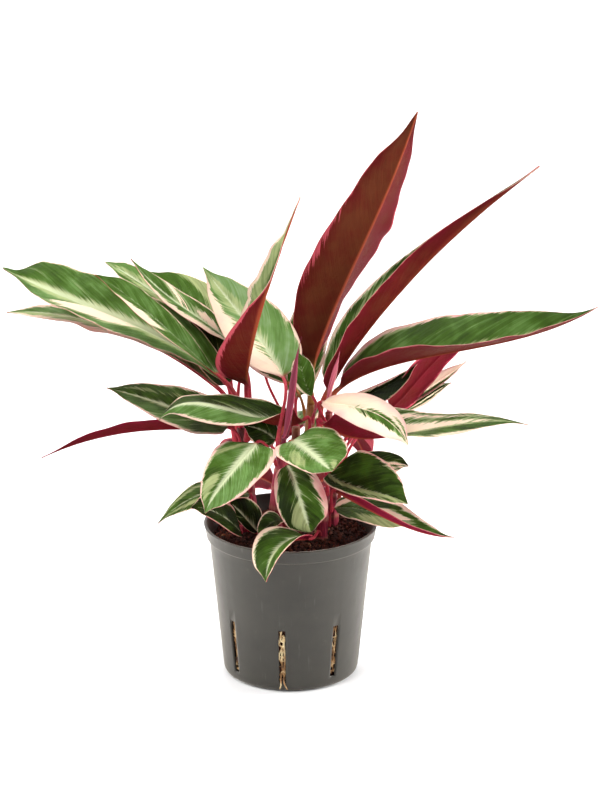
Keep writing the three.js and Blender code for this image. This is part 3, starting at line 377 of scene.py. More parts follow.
def grid_quads(rows, columns):
    """Faces between neighbouring rows and columns; the last column joins the first."""
    i, k = np.meshgrid(np.arange(rows - 1), np.arange(columns), indexing="ij")
    after = (k + 1) % columns
    return np.stack([i * columns + k, i * columns + after,
                     (i + 1) * columns + after, (i + 1) * columns + k], -1).reshape(-1, 4)


def fan(ring, centre, flip):
    """Three-sided faces from each edge of a ring of points to one point."""
    after = np.roll(ring, -1)
    a, b = (after, ring) if flip else (ring, after)
    return np.stack([a, b, np.full(len(ring), centre)], 1)


def closed(grid, first, last, flip=False):
    """Points, quads and triangles of a grid that is joined round, with its first and last row each
    drawn in by a fan to one point; flip turns every face over."""
    rows, columns = grid.shape[:2]
    n = rows * columns
    quads = grid_quads(rows, columns)
    caps = np.vstack([fan(np.arange(columns), n, not flip), fan(np.arange(n - columns, n), n + 1, flip)])
    return np.vstack([grid.reshape(-1, 3), first, last]), quads[:, ::-1] if flip else quads, caps


def joined(shapes):
    """Several (points, quads, triangles) as one."""
    starts = np.cumsum([0] + [len(points) for points, _, _ in shapes])
    return [np.vstack([shape[k] + (start if k else 0) for shape, start in zip(shapes, starts)])
            for k in range(3)]


def turned(profile, a):
    """A profile of (radius, height) turned about Z: (r cos a, r sin a, z)."""
    r, z = profile[:, 0, None], profile[:, 1, None]
    return np.stack([r * np.cos(a), r * np.sin(a), z * np.ones(len(a))], -1)


def bezier(p, s):
    """Cubic Bezier: (1-s)^3 p0 + 3(1-s)^2 s p1 + 3(1-s) s^2 p2 + s^3 p3, and its unit direction."""
    s = np.asarray(s, float)[:, None]
    at = (1 - s) ** 3 * p[0] + 3 * (1 - s) ** 2 * s * p[1] + 3 * (1 - s) * s * s * p[2] + s ** 3 * p[3]
    along = (1 - s) ** 2 * (p[1] - p[0]) + 2 * (1 - s) * s * (p[2] - p[1]) + s * s * (p[3] - p[2])
    return at, unit(along)


def through(points):
    """Control points of the cubic Bezier that passes through four points at 0, 1/3, 2/3 and 1."""
    a, b, c, d = np.array(points, float)
    return np.array([a, (-5 * a + 18 * b - 9 * c + 2 * d) / 6, (2 * a - 9 * b + 18 * c - 5 * d) / 6, d])


def catmull(points, s):
    """Centripetal Catmull-Rom curve through a few points, at s from 0 to 1: on each span the cubic
    with tangents from the neighbours' spacing to the power 1/2."""
    p = np.array(points, float)
    p = np.vstack([2 * p[0] - p[1], p, 2 * p[-1] - p[-2]])
    span = np.minimum((s * (len(p) - 3)).astype(int), len(p) - 4)
    w = (s * (len(p) - 3) - span)[:, None]
    q = [p[span + k] for k in range(4)]
    gap = [np.sqrt(np.linalg.norm(q[k + 1] - q[k], axis=1, keepdims=True)) for k in range(3)]
    t1 = (q[1] - q[0]) / gap[0] - (q[2] - q[0]) / (gap[0] + gap[1]) + (q[2] - q[1]) / gap[1]
    t2 = (q[2] - q[1]) / gap[1] - (q[3] - q[1]) / (gap[1] + gap[2]) + (q[3] - q[2]) / gap[2]
    t1, t2 = t1 * gap[1], t2 * gap[1]
    c2 = -3 * q[1] + 3 * q[2] - 2 * t1 - t2
    c3 = 2 * q[1] - 2 * q[2] + t1 + t2
    return q[1] + t1 * w + c2 * w ** 2 + c3 * w ** 3


def side_frame(along, start):
    """Two directions square to the path at each point: start, carried along with no twist, and
    its cross product with the path."""
    out = np.zeros_like(along)
    held = np.array(start, float)
    for i, a in enumerate(along):
        held = held - a * (held @ a)
        held /= np.linalg.norm(held)
        out[i] = held
    return out, np.cross(along, out)


def tube(path, radius, sides, start=(1, 0.2, 0)):
    """A closed round tube: path + radius (cos a, sin a) in the path's own frame, where the radius is
    one number, one for each row or one for each point."""
    e1, e2 = side_frame(unit(np.gradient(path, axis=0)), start)
    a = turns(sides)
    ring = np.cos(a)[None, :, None] * e1[:, None] + np.sin(a)[None, :, None] * e2[:, None]
    radius = np.asarray(radius, float)
    radius = radius[:, None] if radius.ndim == 1 else radius
    grid = path[:, None] + ring * np.broadcast_to(radius, (len(path), sides))[..., None]
    return closed(grid, path[0], path[-1])


def ripple(x, seed, waves=5):
    """A smooth repeatable wave in x: sum of sines with drawn phases and rising frequencies."""
    draw = np.random.default_rng(seed)
    phase = draw.uniform(0, 2 * np.pi, waves)
    gain = draw.uniform(0.5, 1, waves) / (1 + np.arange(waves))
    return sum(g * np.sin((k + 1) * x + p) for k, (g, p) in enumerate(zip(gain, phase)))


# ------------------------------------------------------------------ materials


class Finish:
    """A procedural material under construction: short ways to add and join its nodes."""

    def __init__(self, name):
        self.material = bpy.data.materials.new(name)
        self.material.use_nodes = True
        self.tree = self.material.node_tree
        self.shader = self.tree.nodes["Principled BSDF"]

    @property
    def place(self):
        """The object's own coordinates."""
        return self.add("TexCoord").outputs["Object"]

    def put(self, socket, value):
        if hasattr(value, "links"):
            self.tree.links.new(value, socket)
        else:
            socket.default_value = value

    def add(self, kind, *values, **settings):
        """A node with its settings, and values or links for its first sockets."""
        node = self.tree.nodes.new("ShaderNode" + kind)
        for key, value in settings.items():
            setattr(node, key, value)
        for socket, value in zip(node.inputs, values):
            self.put(socket, value)
        return node

    def field(self, name):
        return self.add("Attribute", attribute_name=name).outputs["Fac"]

    def parts(self, name):
        """The three numbers of a field that holds three."""
        return self.add("SeparateXYZ", self.add("Attribute", attribute_name=name).outputs["Vector"]).outputs

    def maths(self, operation, a, b=0.0, c=0.0, clamp=False):
        return self.add("Math", a, b, c, operation=operation, use_clamp=clamp).outputs[0]

    def plus(self, a, b, clamp=False):
        return self.maths("ADD", a, b, clamp=clamp)

    def times(self, a, b, base=0.0, clamp=False):
        """a times b, plus a base."""
        return self.maths("MULTIPLY_ADD", a, b, base, clamp)

    def vector(self, *parts):
        return self.add("CombineXYZ", *parts).outputs[0]

    def stretched(self, up, flat=1.0):
        """The object's own place, with its three directions scaled."""
        node = self.add("Mapping", self.place)
        node.inputs["Scale"].default_value = (flat, flat, up)
        return node.outputs[0]

    def noise(self, vector, scale, detail=3.0, roughness=0.5):
        node = self.add("TexNoise", vector)
        for key, value in (("Scale", scale), ("Detail", detail), ("Roughness", roughness)):
            node.inputs[key].default_value = value
        return node.outputs["Fac"]

    def between(self, *values):
        """0 to 1, or two other numbers, in a smooth step while a value goes from low to high."""
        values = values if len(values) == 5 else (*values, 0.0, 1.0)
        return self.add("MapRange", *values, interpolation_type="SMOOTHSTEP").outputs[0]

    def swing(self, vector, scale, detail=3.0, roughness=0.5):
        """Noise spread out between -1 and 1."""
        return self.between(self.noise(vector, scale, detail, roughness), 0.3, 0.7, -1.0, 1.0)

    def mix(self, share, a, b):
        node = self.add("Mix", data_type="RGBA", clamp_factor=True)
        self.put(node.inputs["Factor"], share)
        for key, value in (("A", a), ("B", b)):
            socket = [s for s in node.inputs if s.name == key and s.type == "RGBA"][0]
            self.put(socket, value if hasattr(value, "links") else (*value, 1))
        return [s for s in node.outputs if s.type == "RGBA"][0]

    def ramp(self, value, *stops):
        node = self.add("ValToRGB", value)
        steps = node.color_ramp.elements
        while len(steps) < len(stops):
            steps.new(0.5)
        for step, (at, *colour) in zip(steps, stops):
            step.position = at
            step.color = (*colour, 1)
        return node.outputs[0]

    def relief(self, height, distance, under=None):
        node = self.add("Bump")
        node.inputs["Strength"].default_value = 1.0
        node.inputs["Distance"].default_value = distance
        self.put(node.inputs["Height"], height)
        if under is not None:
            self.put(node.inputs["Normal"], under)
        return node.outputs[0]

    def done(self, colour, roughness, normal=None, **plain):
        self.put(self.shader.inputs["Base Color"], colour)
        self.put(self.shader.inputs["Roughness"], roughness)
        if normal is not None:
            self.put(self.shader.inputs["Normal"], normal)
        for key, value in plain.items():
            self.put(self.shader.inputs[key.replace("_", " ")], value)
        return self.material


def leaf_finish(name, upper):
    """One side of the leaves, with the stalk. Above: green in lighter and darker patches that follow
    the side veins, a pale feather along the midrib, pale green where the field "wash" and cream to
    pink where the field "pale" passes its thresholds, both roughened by noise drawn out along the
    veins. Beneath: brown to crimson, redder towards the edges, pink where it is pale above. Stalk:
    crimson to olive."""
    f = Finish(name)
    along, across, vein = f.parts("blade")
    seed, rim, on_stalk = f.field("seed"), f.field("rim"), f.field("stalk")

    def drawn_out(per_vein, per_across, shift, detail=3.0):
        place = f.vector(f.times(vein, per_vein), f.times(across, per_across), f.plus(seed, shift))
        return f.swing(place, 1.0, detail, 0.55)

    fingers = drawn_out(0.75, 0.045, 0.0, 4.0)
    broad = drawn_out(0.2, 0.03, 9.0)
    patches = drawn_out(0.14, 0.045, 17.0)
    lines = drawn_out(2.6, 0.1, 5.0, 2.0)
    speckle = f.swing(f.vector(along, across, seed), 1.1, 3.0, 0.7)
    clouds = f.swing(f.vector(along, across, seed), 0.06, 2.0)

    field = f.times(broad, 0.16, f.times(fingers, 0.13, f.field("pale")))
    field = f.times(speckle, 0.03, field)
    pale = f.between(field, 0.47, 0.53)
    edge = f.between(rim, 0.955, 0.995, 0.0, 0.5)

    if upper:
        level = f.times(fingers, 0.035, f.field("green"))
        level = f.times(f.between(patches, -0.35, 0.35, -1.0, 1.0), 0.05, level)
        level = f.times(clouds, 0.10, f.times(lines, 0.02, level))
        skin = f.ramp(level, (0.0, 0.005, 0.009, 0.001), (0.2, 0.018, 0.034, 0.003),
                      (0.42, 0.050, 0.108, 0.010), (0.68, 0.132, 0.248, 0.062),
                      (1.0, 0.320, 0.420, 0.230))
        washed = f.times(fingers, 0.14, f.times(broad, 0.14, f.field("wash")))
        washed = f.times(f.between(washed, 0.36, 0.62), f.times(patches, 0.2, 0.58))
        skin = f.mix(washed, skin, (0.480, 0.520, 0.240))
        half_pale = f.between(f.times(patches, 0.2, field), 0.30, 0.36)
        skin = f.mix(f.times(half_pale, 0.75), skin, (0.330, 0.390, 0.175))
        feather = f.times(lines, 0.1, f.times(fingers, 0.24, f.field("feather")))
        skin = f.mix(f.between(feather, 0.2, 0.9, 0.0, 0.9), skin, (0.58, 0.63, 0.39))
        blush = f.times(f.field("blush"), f.between(rim, 0.35, 0.95, 0.3, 1.0))
        blush = f.times(clouds, 0.18, blush, clamp=True)
        cream = f.ramp(blush, (0.0, 0.93, 0.72, 0.535), (0.35, 0.93, 0.66, 0.52),
                       (0.7, 0.87, 0.51, 0.45), (1.0, 0.66, 0.19, 0.21))
        cream = f.mix(f.between(lines, 0.0, 1.0, 0.0, 0.35), cream, (0.70, 0.68, 0.42))
        skin = f.mix(edge, f.mix(pale, skin, cream), (0.66, 0.30, 0.24))
    else:
        level = f.times(clouds, 0.12, f.times(fingers, 0.08, f.field("under")))
        level = f.times(f.between(rim, 0.5, 1.0), 0.3, level)
        skin = f.ramp(level, (0.0, 0.140, 0.034, 0.013), (0.4, 0.125, 0.010, 0.008),
                      (0.75, 0.175, 0.008, 0.018), (1.0, 0.250, 0.010, 0.036))
        skin = f.mix(f.between(lines, -0.6, 1.0, 0.0, 0.35), skin, (0.060, 0.006, 0.006))
        skin = f.mix(f.times(pale, 0.9), skin, (0.60, 0.09, 0.12))
        keel = f.between(f.maths("ABSOLUTE", across), 0.3, 1.1, 1.0, 0.0)
        skin = f.mix(f.times(keel, f.field("keel")), skin, (0.42, 0.085, 0.035))
        skin = f.mix(edge, skin, (0.40, 0.05, 0.05))

    stalk = f.ramp(f.times(speckle, 0.12, f.field("stalk_hue")),
                   (0.0, 0.30, 0.010, 0.040), (0.5, 0.42, 0.075, 0.05), (1.0, 0.24, 0.14, 0.03))
    ribs = f.times(f.maths("SINE", f.times(vein, 3.6)), f.maths("SUBTRACT", 1.0, on_stalk))
    normal = f.relief(f.times(ribs, 0.5, f.times(fingers, 0.4)), 0.25 * MM)
    normal = f.relief(speckle, 0.06 * MM, normal)
    gloss = f.times(f.field("green"), 0.16, 0.015) if upper else 0.04
    return f.done(f.mix(on_stalk, skin, stalk), f.times(fingers, 0.04, 0.36 if upper else 0.62), normal,
                  Specular_IOR_Level=gloss)


def spear_finish():
    """Rolled young leaf: wine red, paler along the seam, with lengthwise streaks."""
    f = Finish("rolled leaf")
    along, across, _ = f.parts("blade")
    streaks = f.noise(f.vector(f.times(along, 0.05), f.times(across, 1.4), f.field("seed")), 1.0, 4.0)
    colour = f.ramp(f.plus(f.field("blush"), f.maths("SUBTRACT", streaks, 0.5)), (0.0, 0.14, 0.018, 0.035),
                    (0.4, 0.30, 0.035, 0.075), (0.8, 0.56, 0.13, 0.18), (1.0, 0.74, 0.34, 0.30))
    return f.done(colour, f.times(streaks, 0.2, 0.36), f.relief(streaks, 0.2 * MM), Specular_IOR_Level=0.15)


def shoot_finish():
    """Leafy stem: crimson with darker and greener lengthwise streaks, paler at the joints; olive and painted
    shade higher up.
    """
    f = Finish("shoot skin")
    streaks = f.noise(f.stretched(0.07), 900.0, 4.0)
    patches = f.noise(f.stretched(0.4), 60.0, 2.0)
    level = f.plus(f.times(streaks, 0.8), f.times(patches, 0.6))
    colour = f.ramp(level, (0.3, 0.07, 0.008, 0.012), (0.6, 0.21, 0.014, 0.036),
                    (0.8, 0.36, 0.045, 0.07), (1.0, 0.44, 0.22, 0.12))
    colour = f.mix(f.field("joint"), colour, (0.38, 0.14, 0.10))
    ripe = f.ramp(level, (0.4, 0.10, 0.045, 0.012), (0.9, 0.30, 0.15, 0.045))
    colour = f.mix(f.field("olive"), colour, ripe)
    # Painted shade: where the field dark is set, the upper stem is turned near black, standing in for the
    # shadow of the leaves.
    colour = f.mix(f.field("dark"), colour, (0.030, 0.010, 0.007))
    return f.done(colour, f.times(streaks, 0.25, 0.34), f.relief(streaks, 0.3 * MM), Specular_IOR_Level=0.15)


def pot_finish():
    """Moulded plastic: warm mid grey with faint flow marks, fine grain, dust and a few scuffs."""
    f = Finish("grey moulded plastic")
    flow = f.noise(f.stretched(2.5), 14.0, 3.0)
    dust = f.noise(f.place, 90.0, 5.0, 0.65)
    scratch = f.noise(f.stretched(0.12), 260.0, 2.0)
    colour = f.ramp(f.plus(f.times(flow, 0.6), f.times(dust, 0.4)),
                    (0.3, 0.025, 0.023, 0.018), (0.7, 0.040, 0.036, 0.028))
    colour = f.mix(f.between(scratch, 0.66, 0.78, 0.0, 0.3), colour, (0.09, 0.085, 0.075))
    colour = f.mix(f.between(dust, 0.62, 0.8, 0.0, 0.35), colour, (0.08, 0.072, 0.055))
    normal = f.relief(f.noise(f.place, 1400.0, 2.0), 0.04 * MM)
    normal = f.relief(f.noise(f.place, 45.0, 2.0), 0.4 * MM, normal)
    return f.done(colour, f.times(dust, 0.22, 0.36), normal, Specular_IOR_Level=0.35, Sheen_Weight=0.36,
                  Sheen_Roughness=0.35, Sheen_Tint=(1.0, 0.9, 0.74, 1.0))


def soil_finish():
    """Coarse growing mix: dark red-brown, each granule its own shade, with a few pale bits."""
    f = Finish("growing mix")
    grit = f.noise(f.place, 700.0, 5.0, 0.7)
    tone = f.plus(f.field("shade"), f.times(f.maths("SUBTRACT", grit, 0.5), 0.6), clamp=True)
    colour = f.ramp(tone, (0.0, 0.014, 0.005, 0.003), (0.35, 0.050, 0.014, 0.008),
                    (0.7, 0.115, 0.034, 0.018), (0.92, 0.22, 0.075, 0.035), (1.0, 0.42, 0.24, 0.12))
    return f.done(colour, 0.85, f.relief(grit, 0.8 * MM), Specular_IOR_Level=0.25)


def root_finish():
    """Roots: straw yellow to brown along their length, fibrous."""
    f = Finish("root skin")
    fibre = f.noise(f.place, 1500.0, 3.0)
    patch = f.noise(f.place, 120.0, 2.0)
    colour = f.ramp(f.plus(f.times(patch, 0.8), f.times(fibre, 0.3)),
                    (0.36, 0.040, 0.016, 0.009), (0.52, 0.34, 0.17, 0.06), (0.72, 0.80, 0.66, 0.38))
    return f.done(colour, 0.7, f.relief(fibre, 0.2 * MM))


def floor_finish():
    """The floor: nearly white, in two tones a shade apart."""
    f = Finish("pale floor")
    tone = f.noise(f.place, 3.0, 2.0)
    return f.done(f.mix(tone, (0.90, 0.90, 0.90), (0.93, 0.93, 0.93)), 0.7, Specular_IOR_Level=0.2)


# ------------------------------------------------------------------ shoots


def shoot_at(name, height):
    """Axis point and radius of a shoot at a height."""
    points, radii = SHOOTS[name]
    axis = catmull(points, np.linspace(0, 1, 400))
    share = (height - points[0][2]) / (points[2][2] - points[0][2])
    point = np.array([np.interp(height, axis[:, 2], axis[:, k]) for k in range(3)])
    return point, radii[0] + (radii[1] - radii[0]) * share


def shoot_piece(name, finish):
    """A stem of wrapped leaf bases: radius r(s) with a swelling at each joint, and on each stretch
    one lip where a sheath ends, which turns a little further round at every joint."""
    rows, sides = 150, 40
    s = np.linspace(0, 1, rows)
    points, (foot, top) = SHOOTS[name]
    path = catmull(points, s)
    reach = np.linalg.norm(path[-1] - path[0])
    joints = np.arange(0.12, 1.0, JOINT_STEP / reach)
    swell = np.exp(-((s[:, None] - joints) * reach / 1.6) ** 2).sum(1)
    a = turns(sides)[None]
    turn = np.searchsorted(joints, s) * 2.4 + s * 0.8
    around = (a - turn[:, None]) % (2 * np.pi)
    lip = 0.10 * (around / (2 * np.pi)) + 0.05 * np.exp(-(around / 0.25) ** 2)
    lobes = sum(0.24 * np.maximum(0, np.cos(a - at - 0.9 * s[:, None])) ** 6 for at in (0.4, 2.5, 4.3))
    lobes = lobes * smoothstep(s, 1.0, 0.7)[:, None]
    radius = (foot + (top - foot) * s)[:, None] * (0.95 + 0.07 * swell[:, None] + lip + lobes)
    radius[-1] *= 0.6
    # dark is painted shade over the upper part of the stem.
    olive, dark = STEM_LOOKS.get(name, (0, 0))
    higher = np.concatenate([np.repeat(smoothstep(s, 0.45, 0.8), sides), [0, 1]])
    fields = {"joint": np.concatenate([np.repeat(np.clip(swell, 0, 1) * 0.7, sides), [0, 0]]),
              "olive": higher * olive, "dark": higher * dark}
    piece = mesh_piece("stem_" + name, tube(path, radius, sides), [finish], fields)
    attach(piece, "root")
    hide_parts("shoot_" + name)


# ------------------------------------------------------------------ leaves


def outline(t, base, tip):
    """Width of a blade at t as a share of its widest: t^base (1-t)^tip over its own maximum."""
    widest = base / (base + tip)
    return t ** base * (1 - t) ** tip / (widest ** base * (1 - widest) ** tip)


def stalk_curve(leaf, rib, radius):
    """Bezier from the shoot's side, or from its top, into the midrib's own direction."""
    point, stem = shoot_at(leaf["shoot"], leaf["foot"])
    start, arrive = (values[0] for values in bezier(rib, [0.0]))
    side = math.atan2(start[1] - point[1], start[0] - point[0])
    if leaf["side"] is not None:
        side = math.radians(leaf["side"])
    out = np.array([math.cos(side), math.sin(side), 0.0])
    at_top = leaf["foot"] >= SHOOTS[leaf["shoot"]][0][2][2]
    foot = point + (np.array([0, 0, CLEAR]) if at_top else out * (stem * 1.1 + radius + CLEAR))
    reach = np.linalg.norm(start - foot)
    leave = unit(np.array([0.0, 0.0, 1.0]) + out * (0 if at_top else 0.35))
    return np.array([foot, foot + leave * reach * 0.4, start - arrive * reach * 0.35, start])


def leaf_lines(leaf, stalk_rows, blade_rows, radius):
    """Rows of a leaf from the stalk's foot to the tip: place, direction, upper side, left side and t
    (below 0 on the stalk). The upper side is carried with no twist from mid-blade both ways, then
    turned about the rib by the leaf's own twist."""
    rib = through(leaf["rib"])
    s = np.linspace(0, 1, stalk_rows, endpoint=False)
    w = np.linspace(0, 1, blade_rows)
    t = w - 0.09 * np.sin(2 * np.pi * w) / np.pi
    p1, d1 = bezier(stalk_curve(leaf, rib, radius), s)
    p2, d2 = bezier(rib, t)
    place, along = np.vstack([p1, p2]), np.vstack([d1, d2])
    whole = np.concatenate([s - 1, t])
    middle = stalk_rows + int(np.argmin(abs(t - 0.5)))
    up = np.zeros_like(along)
    up[middle:], _ = side_frame(along[middle:], leaf["face"])
    up[:middle + 1] = side_frame(along[:middle + 1][::-1], leaf["face"])[0][::-1]
    turn = np.radians(np.interp(whole, *leaf["turn"]))[:, None]
    left = np.cross(up, along)
    up = up * np.cos(turn) + left * np.sin(turn)
    return place, along, up, np.cross(up, along), whole


def length_of(path):
    """Distance along a path at each of its points."""
    step = np.linalg.norm(np.diff(path, axis=0), axis=1)
    return np.concatenate([[0], np.cumsum(step)])


def along_vein(u):
    """How far a side vein has run towards the tip when it is |u| of the way to the edge: it leaves the
    midrib at a slant and bends forward near the edge, 0.75 |u| + 0.25 |u|^3."""
    return 0.75 * abs(u) + 0.25 * abs(u) ** 3


def pale_fields(look, t, u, lean):
    """Where a blade is cream, and where it is only washed with pale green: a half at the border of a
    margin, band or wash, 1 well inside and 0 well outside. A band is an ellipse in (v, |u|), with
    v = t - lean along_vein(u), so that it lies along the veins; one that reaches the edge is widest
    there."""
    t, u, v = np.broadcast_arrays(t, u, t - lean * along_vein(u))
    margins = [np.interp(t, [0, 0.5, 1], spread(look[side], 3)) for side in ("left", "right")]
    wide = np.where(u >= 0, *margins)
    field = np.where(wide > 0.001, (abs(u) - 1 + wide) / (0.6 * wide + 0.06), OUTSIDE)
    cream = look["ground"] == "cream"
    field = np.full_like(field, 1.0) if cream else field
    wash = np.full_like(field, OUTSIDE)
    for key in ("bands", "washes"):
        for side, start, end, inner, outer in look[key]:
            middle, reach = (1, 1 - inner) if outer > 1 else ((inner + outer) / 2, (outer - inner) / 2)
            far = np.hypot((v - (start + end) / 2) / ((end - start) / 2), (abs(u) - middle) / reach)
            streak = np.where(side * u > 0, (1 - far) * min((end - start) / 0.14, reach / 0.2), OUTSIDE)
            if key == "washes":
                wash = np.maximum(wash, streak)
            else:
                field = np.minimum(field, -streak) if cream else np.maximum(field, streak)
    return [0.5 + 0.5 * np.clip(values, -1, 1) for values in (field, wash)]


def leaf_piece(name, finishes, number):
    """One leaf. Across the blade each half is an arc: it starts at the fold angle f, turns by c to its
    edge, and lies at out = h (sin(f + c u) - sin f) / c, up = h (cos f - cos(f + c u)) / c. The edge
    waves up and down along the leaf, the midrib is a groove above and a keel beneath, and over the
    first part of the blade the section grows out of the round stalk."""
    leaf, look = LEAVES[name], {**USUAL_LOOK, **LOOKS[name]}
    rib_length = length_of(bezier(through(leaf["rib"]), np.linspace(0, 1, 200))[0])[-1]
    radius = STALK[0] + (STALK[1] - STALK[0]) * smoothstep(rib_length, 60, 230)
    blade_rows = int(64 + 26 * smoothstep(rib_length, 60, 200))
    place, along, up, left, t = leaf_lines(leaf, STALK_ROWS, blade_rows, radius)
    rows = len(t)
    s = np.linspace(1, -1, BLADE_COLUMNS)
    u = (s - 0.8 * np.sin(2 * np.pi * s) / (2 * np.pi))[None, :]
    tt = np.clip(t, 0, 1)[:, None]
    shapes = leaf["outline"] if isinstance(leaf["outline"][0], tuple) else (leaf["outline"],) * 2
    pick = lambda value: np.where(u >= 0, *spread(value))
    width = pick(tuple(outline(np.minimum(tt, 0.998), *shape) for shape in shapes))
    drawn = 1 - look["point"] * smoothstep(tt, 0.84, 0.965)
    half = np.maximum(0.35, pick(leaf["half"]) * width * drawn)
    bend = smoothstep(tt, *leaf["bend"])
    fold = np.radians(pick(leaf["fold"][0]) * (1 - bend) + pick(leaf["fold"][1]) * bend)
    curl = np.radians(pick(leaf["curl"])) + 0.002
    angle = fold + curl * abs(u)
    out = half * (np.sin(angle) - np.sin(fold)) / curl * np.sign(u)
    rise = half * (np.cos(fold) - np.cos(angle)) / curl

    # Waves: each edge swings along the leaf, and the blade is quilted between its side veins.
    lean = (1.15 * half + 0.13 * rib_length * np.minimum(1, half / 4)) / rib_length
    vein = (tt - lean * along_vein(u)) * rib_length
    swing = tuple(ripple(t * rib_length / WAVE_STEP, number * 7 + k)[:, None] for k in range(2))
    swing = pick(swing) * np.minimum(1.5, half * 0.07) * look["wave"]
    swing = swing * abs(u) ** 2.2 * smoothstep(tt, 0.02, 0.2) * smoothstep(tt, 1.0, 0.85)
    quilt = QUILT * np.sin(vein * 2 * np.pi / VEIN_STEP)
    quilt = quilt * smoothstep(abs(u), 0.06, 0.3) * smoothstep(abs(u), 1.0, 0.8)
    groove = -GROOVE * np.exp(-(out / 0.9) ** 2) * smoothstep(tt, 1.0, 0.7)
    cross = np.stack([-np.sign(u) * np.sin(angle), np.cos(angle)], -1)
    top = np.stack([out, rise], -1) + cross * (swing + quilt * np.minimum(1, half / 8) + groove)[..., None]
    keel = (KEEL * (1 - tt) + 0.15) * np.exp(-(out / (0.7 + 0.5 * (1 - tt))) ** 2)
    thin = BLADE * (0.35 + 0.65 * smoothstep(abs(u), 1.0, 0.9))
    under = top - cross * (thin + keel)[..., None]

    # The round stalk, a little grooved above.
    a = np.pi / 2 + u[0] * math.radians(86)
    grow = radius * (1.0 + 0.45 * smoothstep(-t, 0.55, 1.0))[:, None]
    round_top = np.stack([-grow * np.cos(a), grow * np.sin(a) * 0.9 - 0.2 * np.exp(-(u / 0.3) ** 2)], -1)
    round_under = np.stack([-grow * np.cos(a), -grow * np.sin(a)], -1)
    flat = smoothstep(tt, 0, 0.07)[..., None]
    top = round_top * (1 - flat) + top * flat
    under = round_under * (1 - flat) + under * flat
    section = np.concatenate([top, under[:, ::-1]], 1)
    grid = place[:, None] + left[:, None] * section[..., :1] + up[:, None] * section[..., 1:]

    columns = section.shape[1]
    n = rows * columns
    distance = length_of(place)
    distance = distance - distance[STALK_ROWS]
    strength, wide = look["rib"]
    reach = abs(u) * (1 + 1.6 * tt)
    feather = strength * np.exp(-(reach / wide) ** 1.1) * smoothstep(tt, 1.04, 0.8) * 1.15
    pale, wash = pale_fields(look, tt, u, lean)
    full = np.ones((rows, 1))
    doubled = lambda half_grid: np.concatenate([half_grid, half_grid[:, ::-1]], 1)
    ends = lambda grid: np.concatenate([grid.reshape(n, *grid.shape[2:]), grid[0, :1], grid[-1, :1]])
    blade = np.stack([distance[:, None] * np.ones((1, columns)), doubled(out), doubled(vein)], -1)
    on_stalk = (1 - smoothstep(t, 0.0, 0.05))[:, None] * np.ones((1, columns))
    fields = {"blade": ends(blade), "stalk": ends(on_stalk)}
    for key, values in (("pale", pale), ("wash", wash), ("feather", feather), ("rim", abs(u) * full),
                        ("green", pick(look["green"]) * full), ("under", pick(look["under"]) * full)):
        fields[key] = ends(doubled(values))
    for key, value in (("blush", look["blush"]), ("keel", look["keel"]), ("stalk_hue", look["stalk"]),
                       ("seed", number * 3.7)):
        fields[key] = np.full(n + 2, float(value))
    shape = closed(grid, place[0], place[-1] + along[-1] * 0.3, flip=True)
    piece = mesh_piece("blade_" + name, shape, finishes, fields)
    beneath = [np.arange(len(shape[1])) % columns >= columns // 2, np.zeros(len(shape[2]), bool)]
    piece.data.polygons.foreach_set("material_index", np.concatenate(beneath).astype(np.int32))
    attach(piece, "root")
    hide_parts("leaf_" + name)


def spear_piece(name, finish, number):
    """A rolled young leaf: radius h outline(t) times 0.88 + 0.26 (a - seam) / 2 pi round the spear, so
    that the outer edge stands proud along a seam that winds slowly up it."""
    leaf = LEAVES[name]
    radius = leaf["half"]
    place, along, up, left, t = leaf_lines(leaf, 12, 90, radius * 0.72)
    sides = 48
    tt = np.clip(t, 0, 1)
    size = np.where(t > 0, outline(np.minimum(tt + 0.1, 0.99), *leaf["outline"]), 0.75)
    size = np.maximum(0.2, 0.8 * radius * size * (1 - 0.55 * smoothstep(tt, 0.55, 1.0)))
    a = turns(sides)
    around = (a[None] - (1.9 + 2.2 * t)[:, None]) % (2 * np.pi)
    out = size[:, None] * (0.88 + 0.26 * around / (2 * np.pi))
    x, y = out * np.cos(a), out * np.sin(a)
    grid = place[:, None] + left[:, None] * x[..., None] + up[:, None] * y[..., None]
    distance = length_of(place)[:, None] * np.ones((1, sides))
    blade = np.stack([distance, around * radius, distance * 0], -1).reshape(-1, 3)
    near_seam = np.exp(-((2 * np.pi - around) / 0.5) ** 2).ravel() * 0.6
    hue = 0.7 if name.endswith("pink") else 0.08
    ends = lambda values: np.concatenate([values, values[:1], values[-1:]])
    seed = np.full(len(blade) + 2, number * 2.1)
    fields = {"blade": ends(blade), "blush": ends(near_seam + hue), "seed": seed}
    shape = closed(grid, place[0], place[-1] + along[-1] * 0.8, flip=True)
    piece = mesh_piece("rolled_" + name, shape, [finish], fields)
    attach(piece, "root")
    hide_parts("leaf_" + name)


# ------------------------------------------------------------------ pot, soil and roots


def wall_radius(z):
    """Outside radius of the pot's plain wall, straight from its foot to the rim band."""
    return FOOT_RADIUS + (BAND_RADIUS - FOOT_RADIUS) * (z - FOOT_TOP) / (BAND_BOTTOM - FOOT_TOP)


def soil_height(r):
    """Height of the domed top of the soil at a radius, a parabola."""
    return SOIL_TOP + SOIL_DOME * (1 - (r / DOME_RADIUS) ** 2)


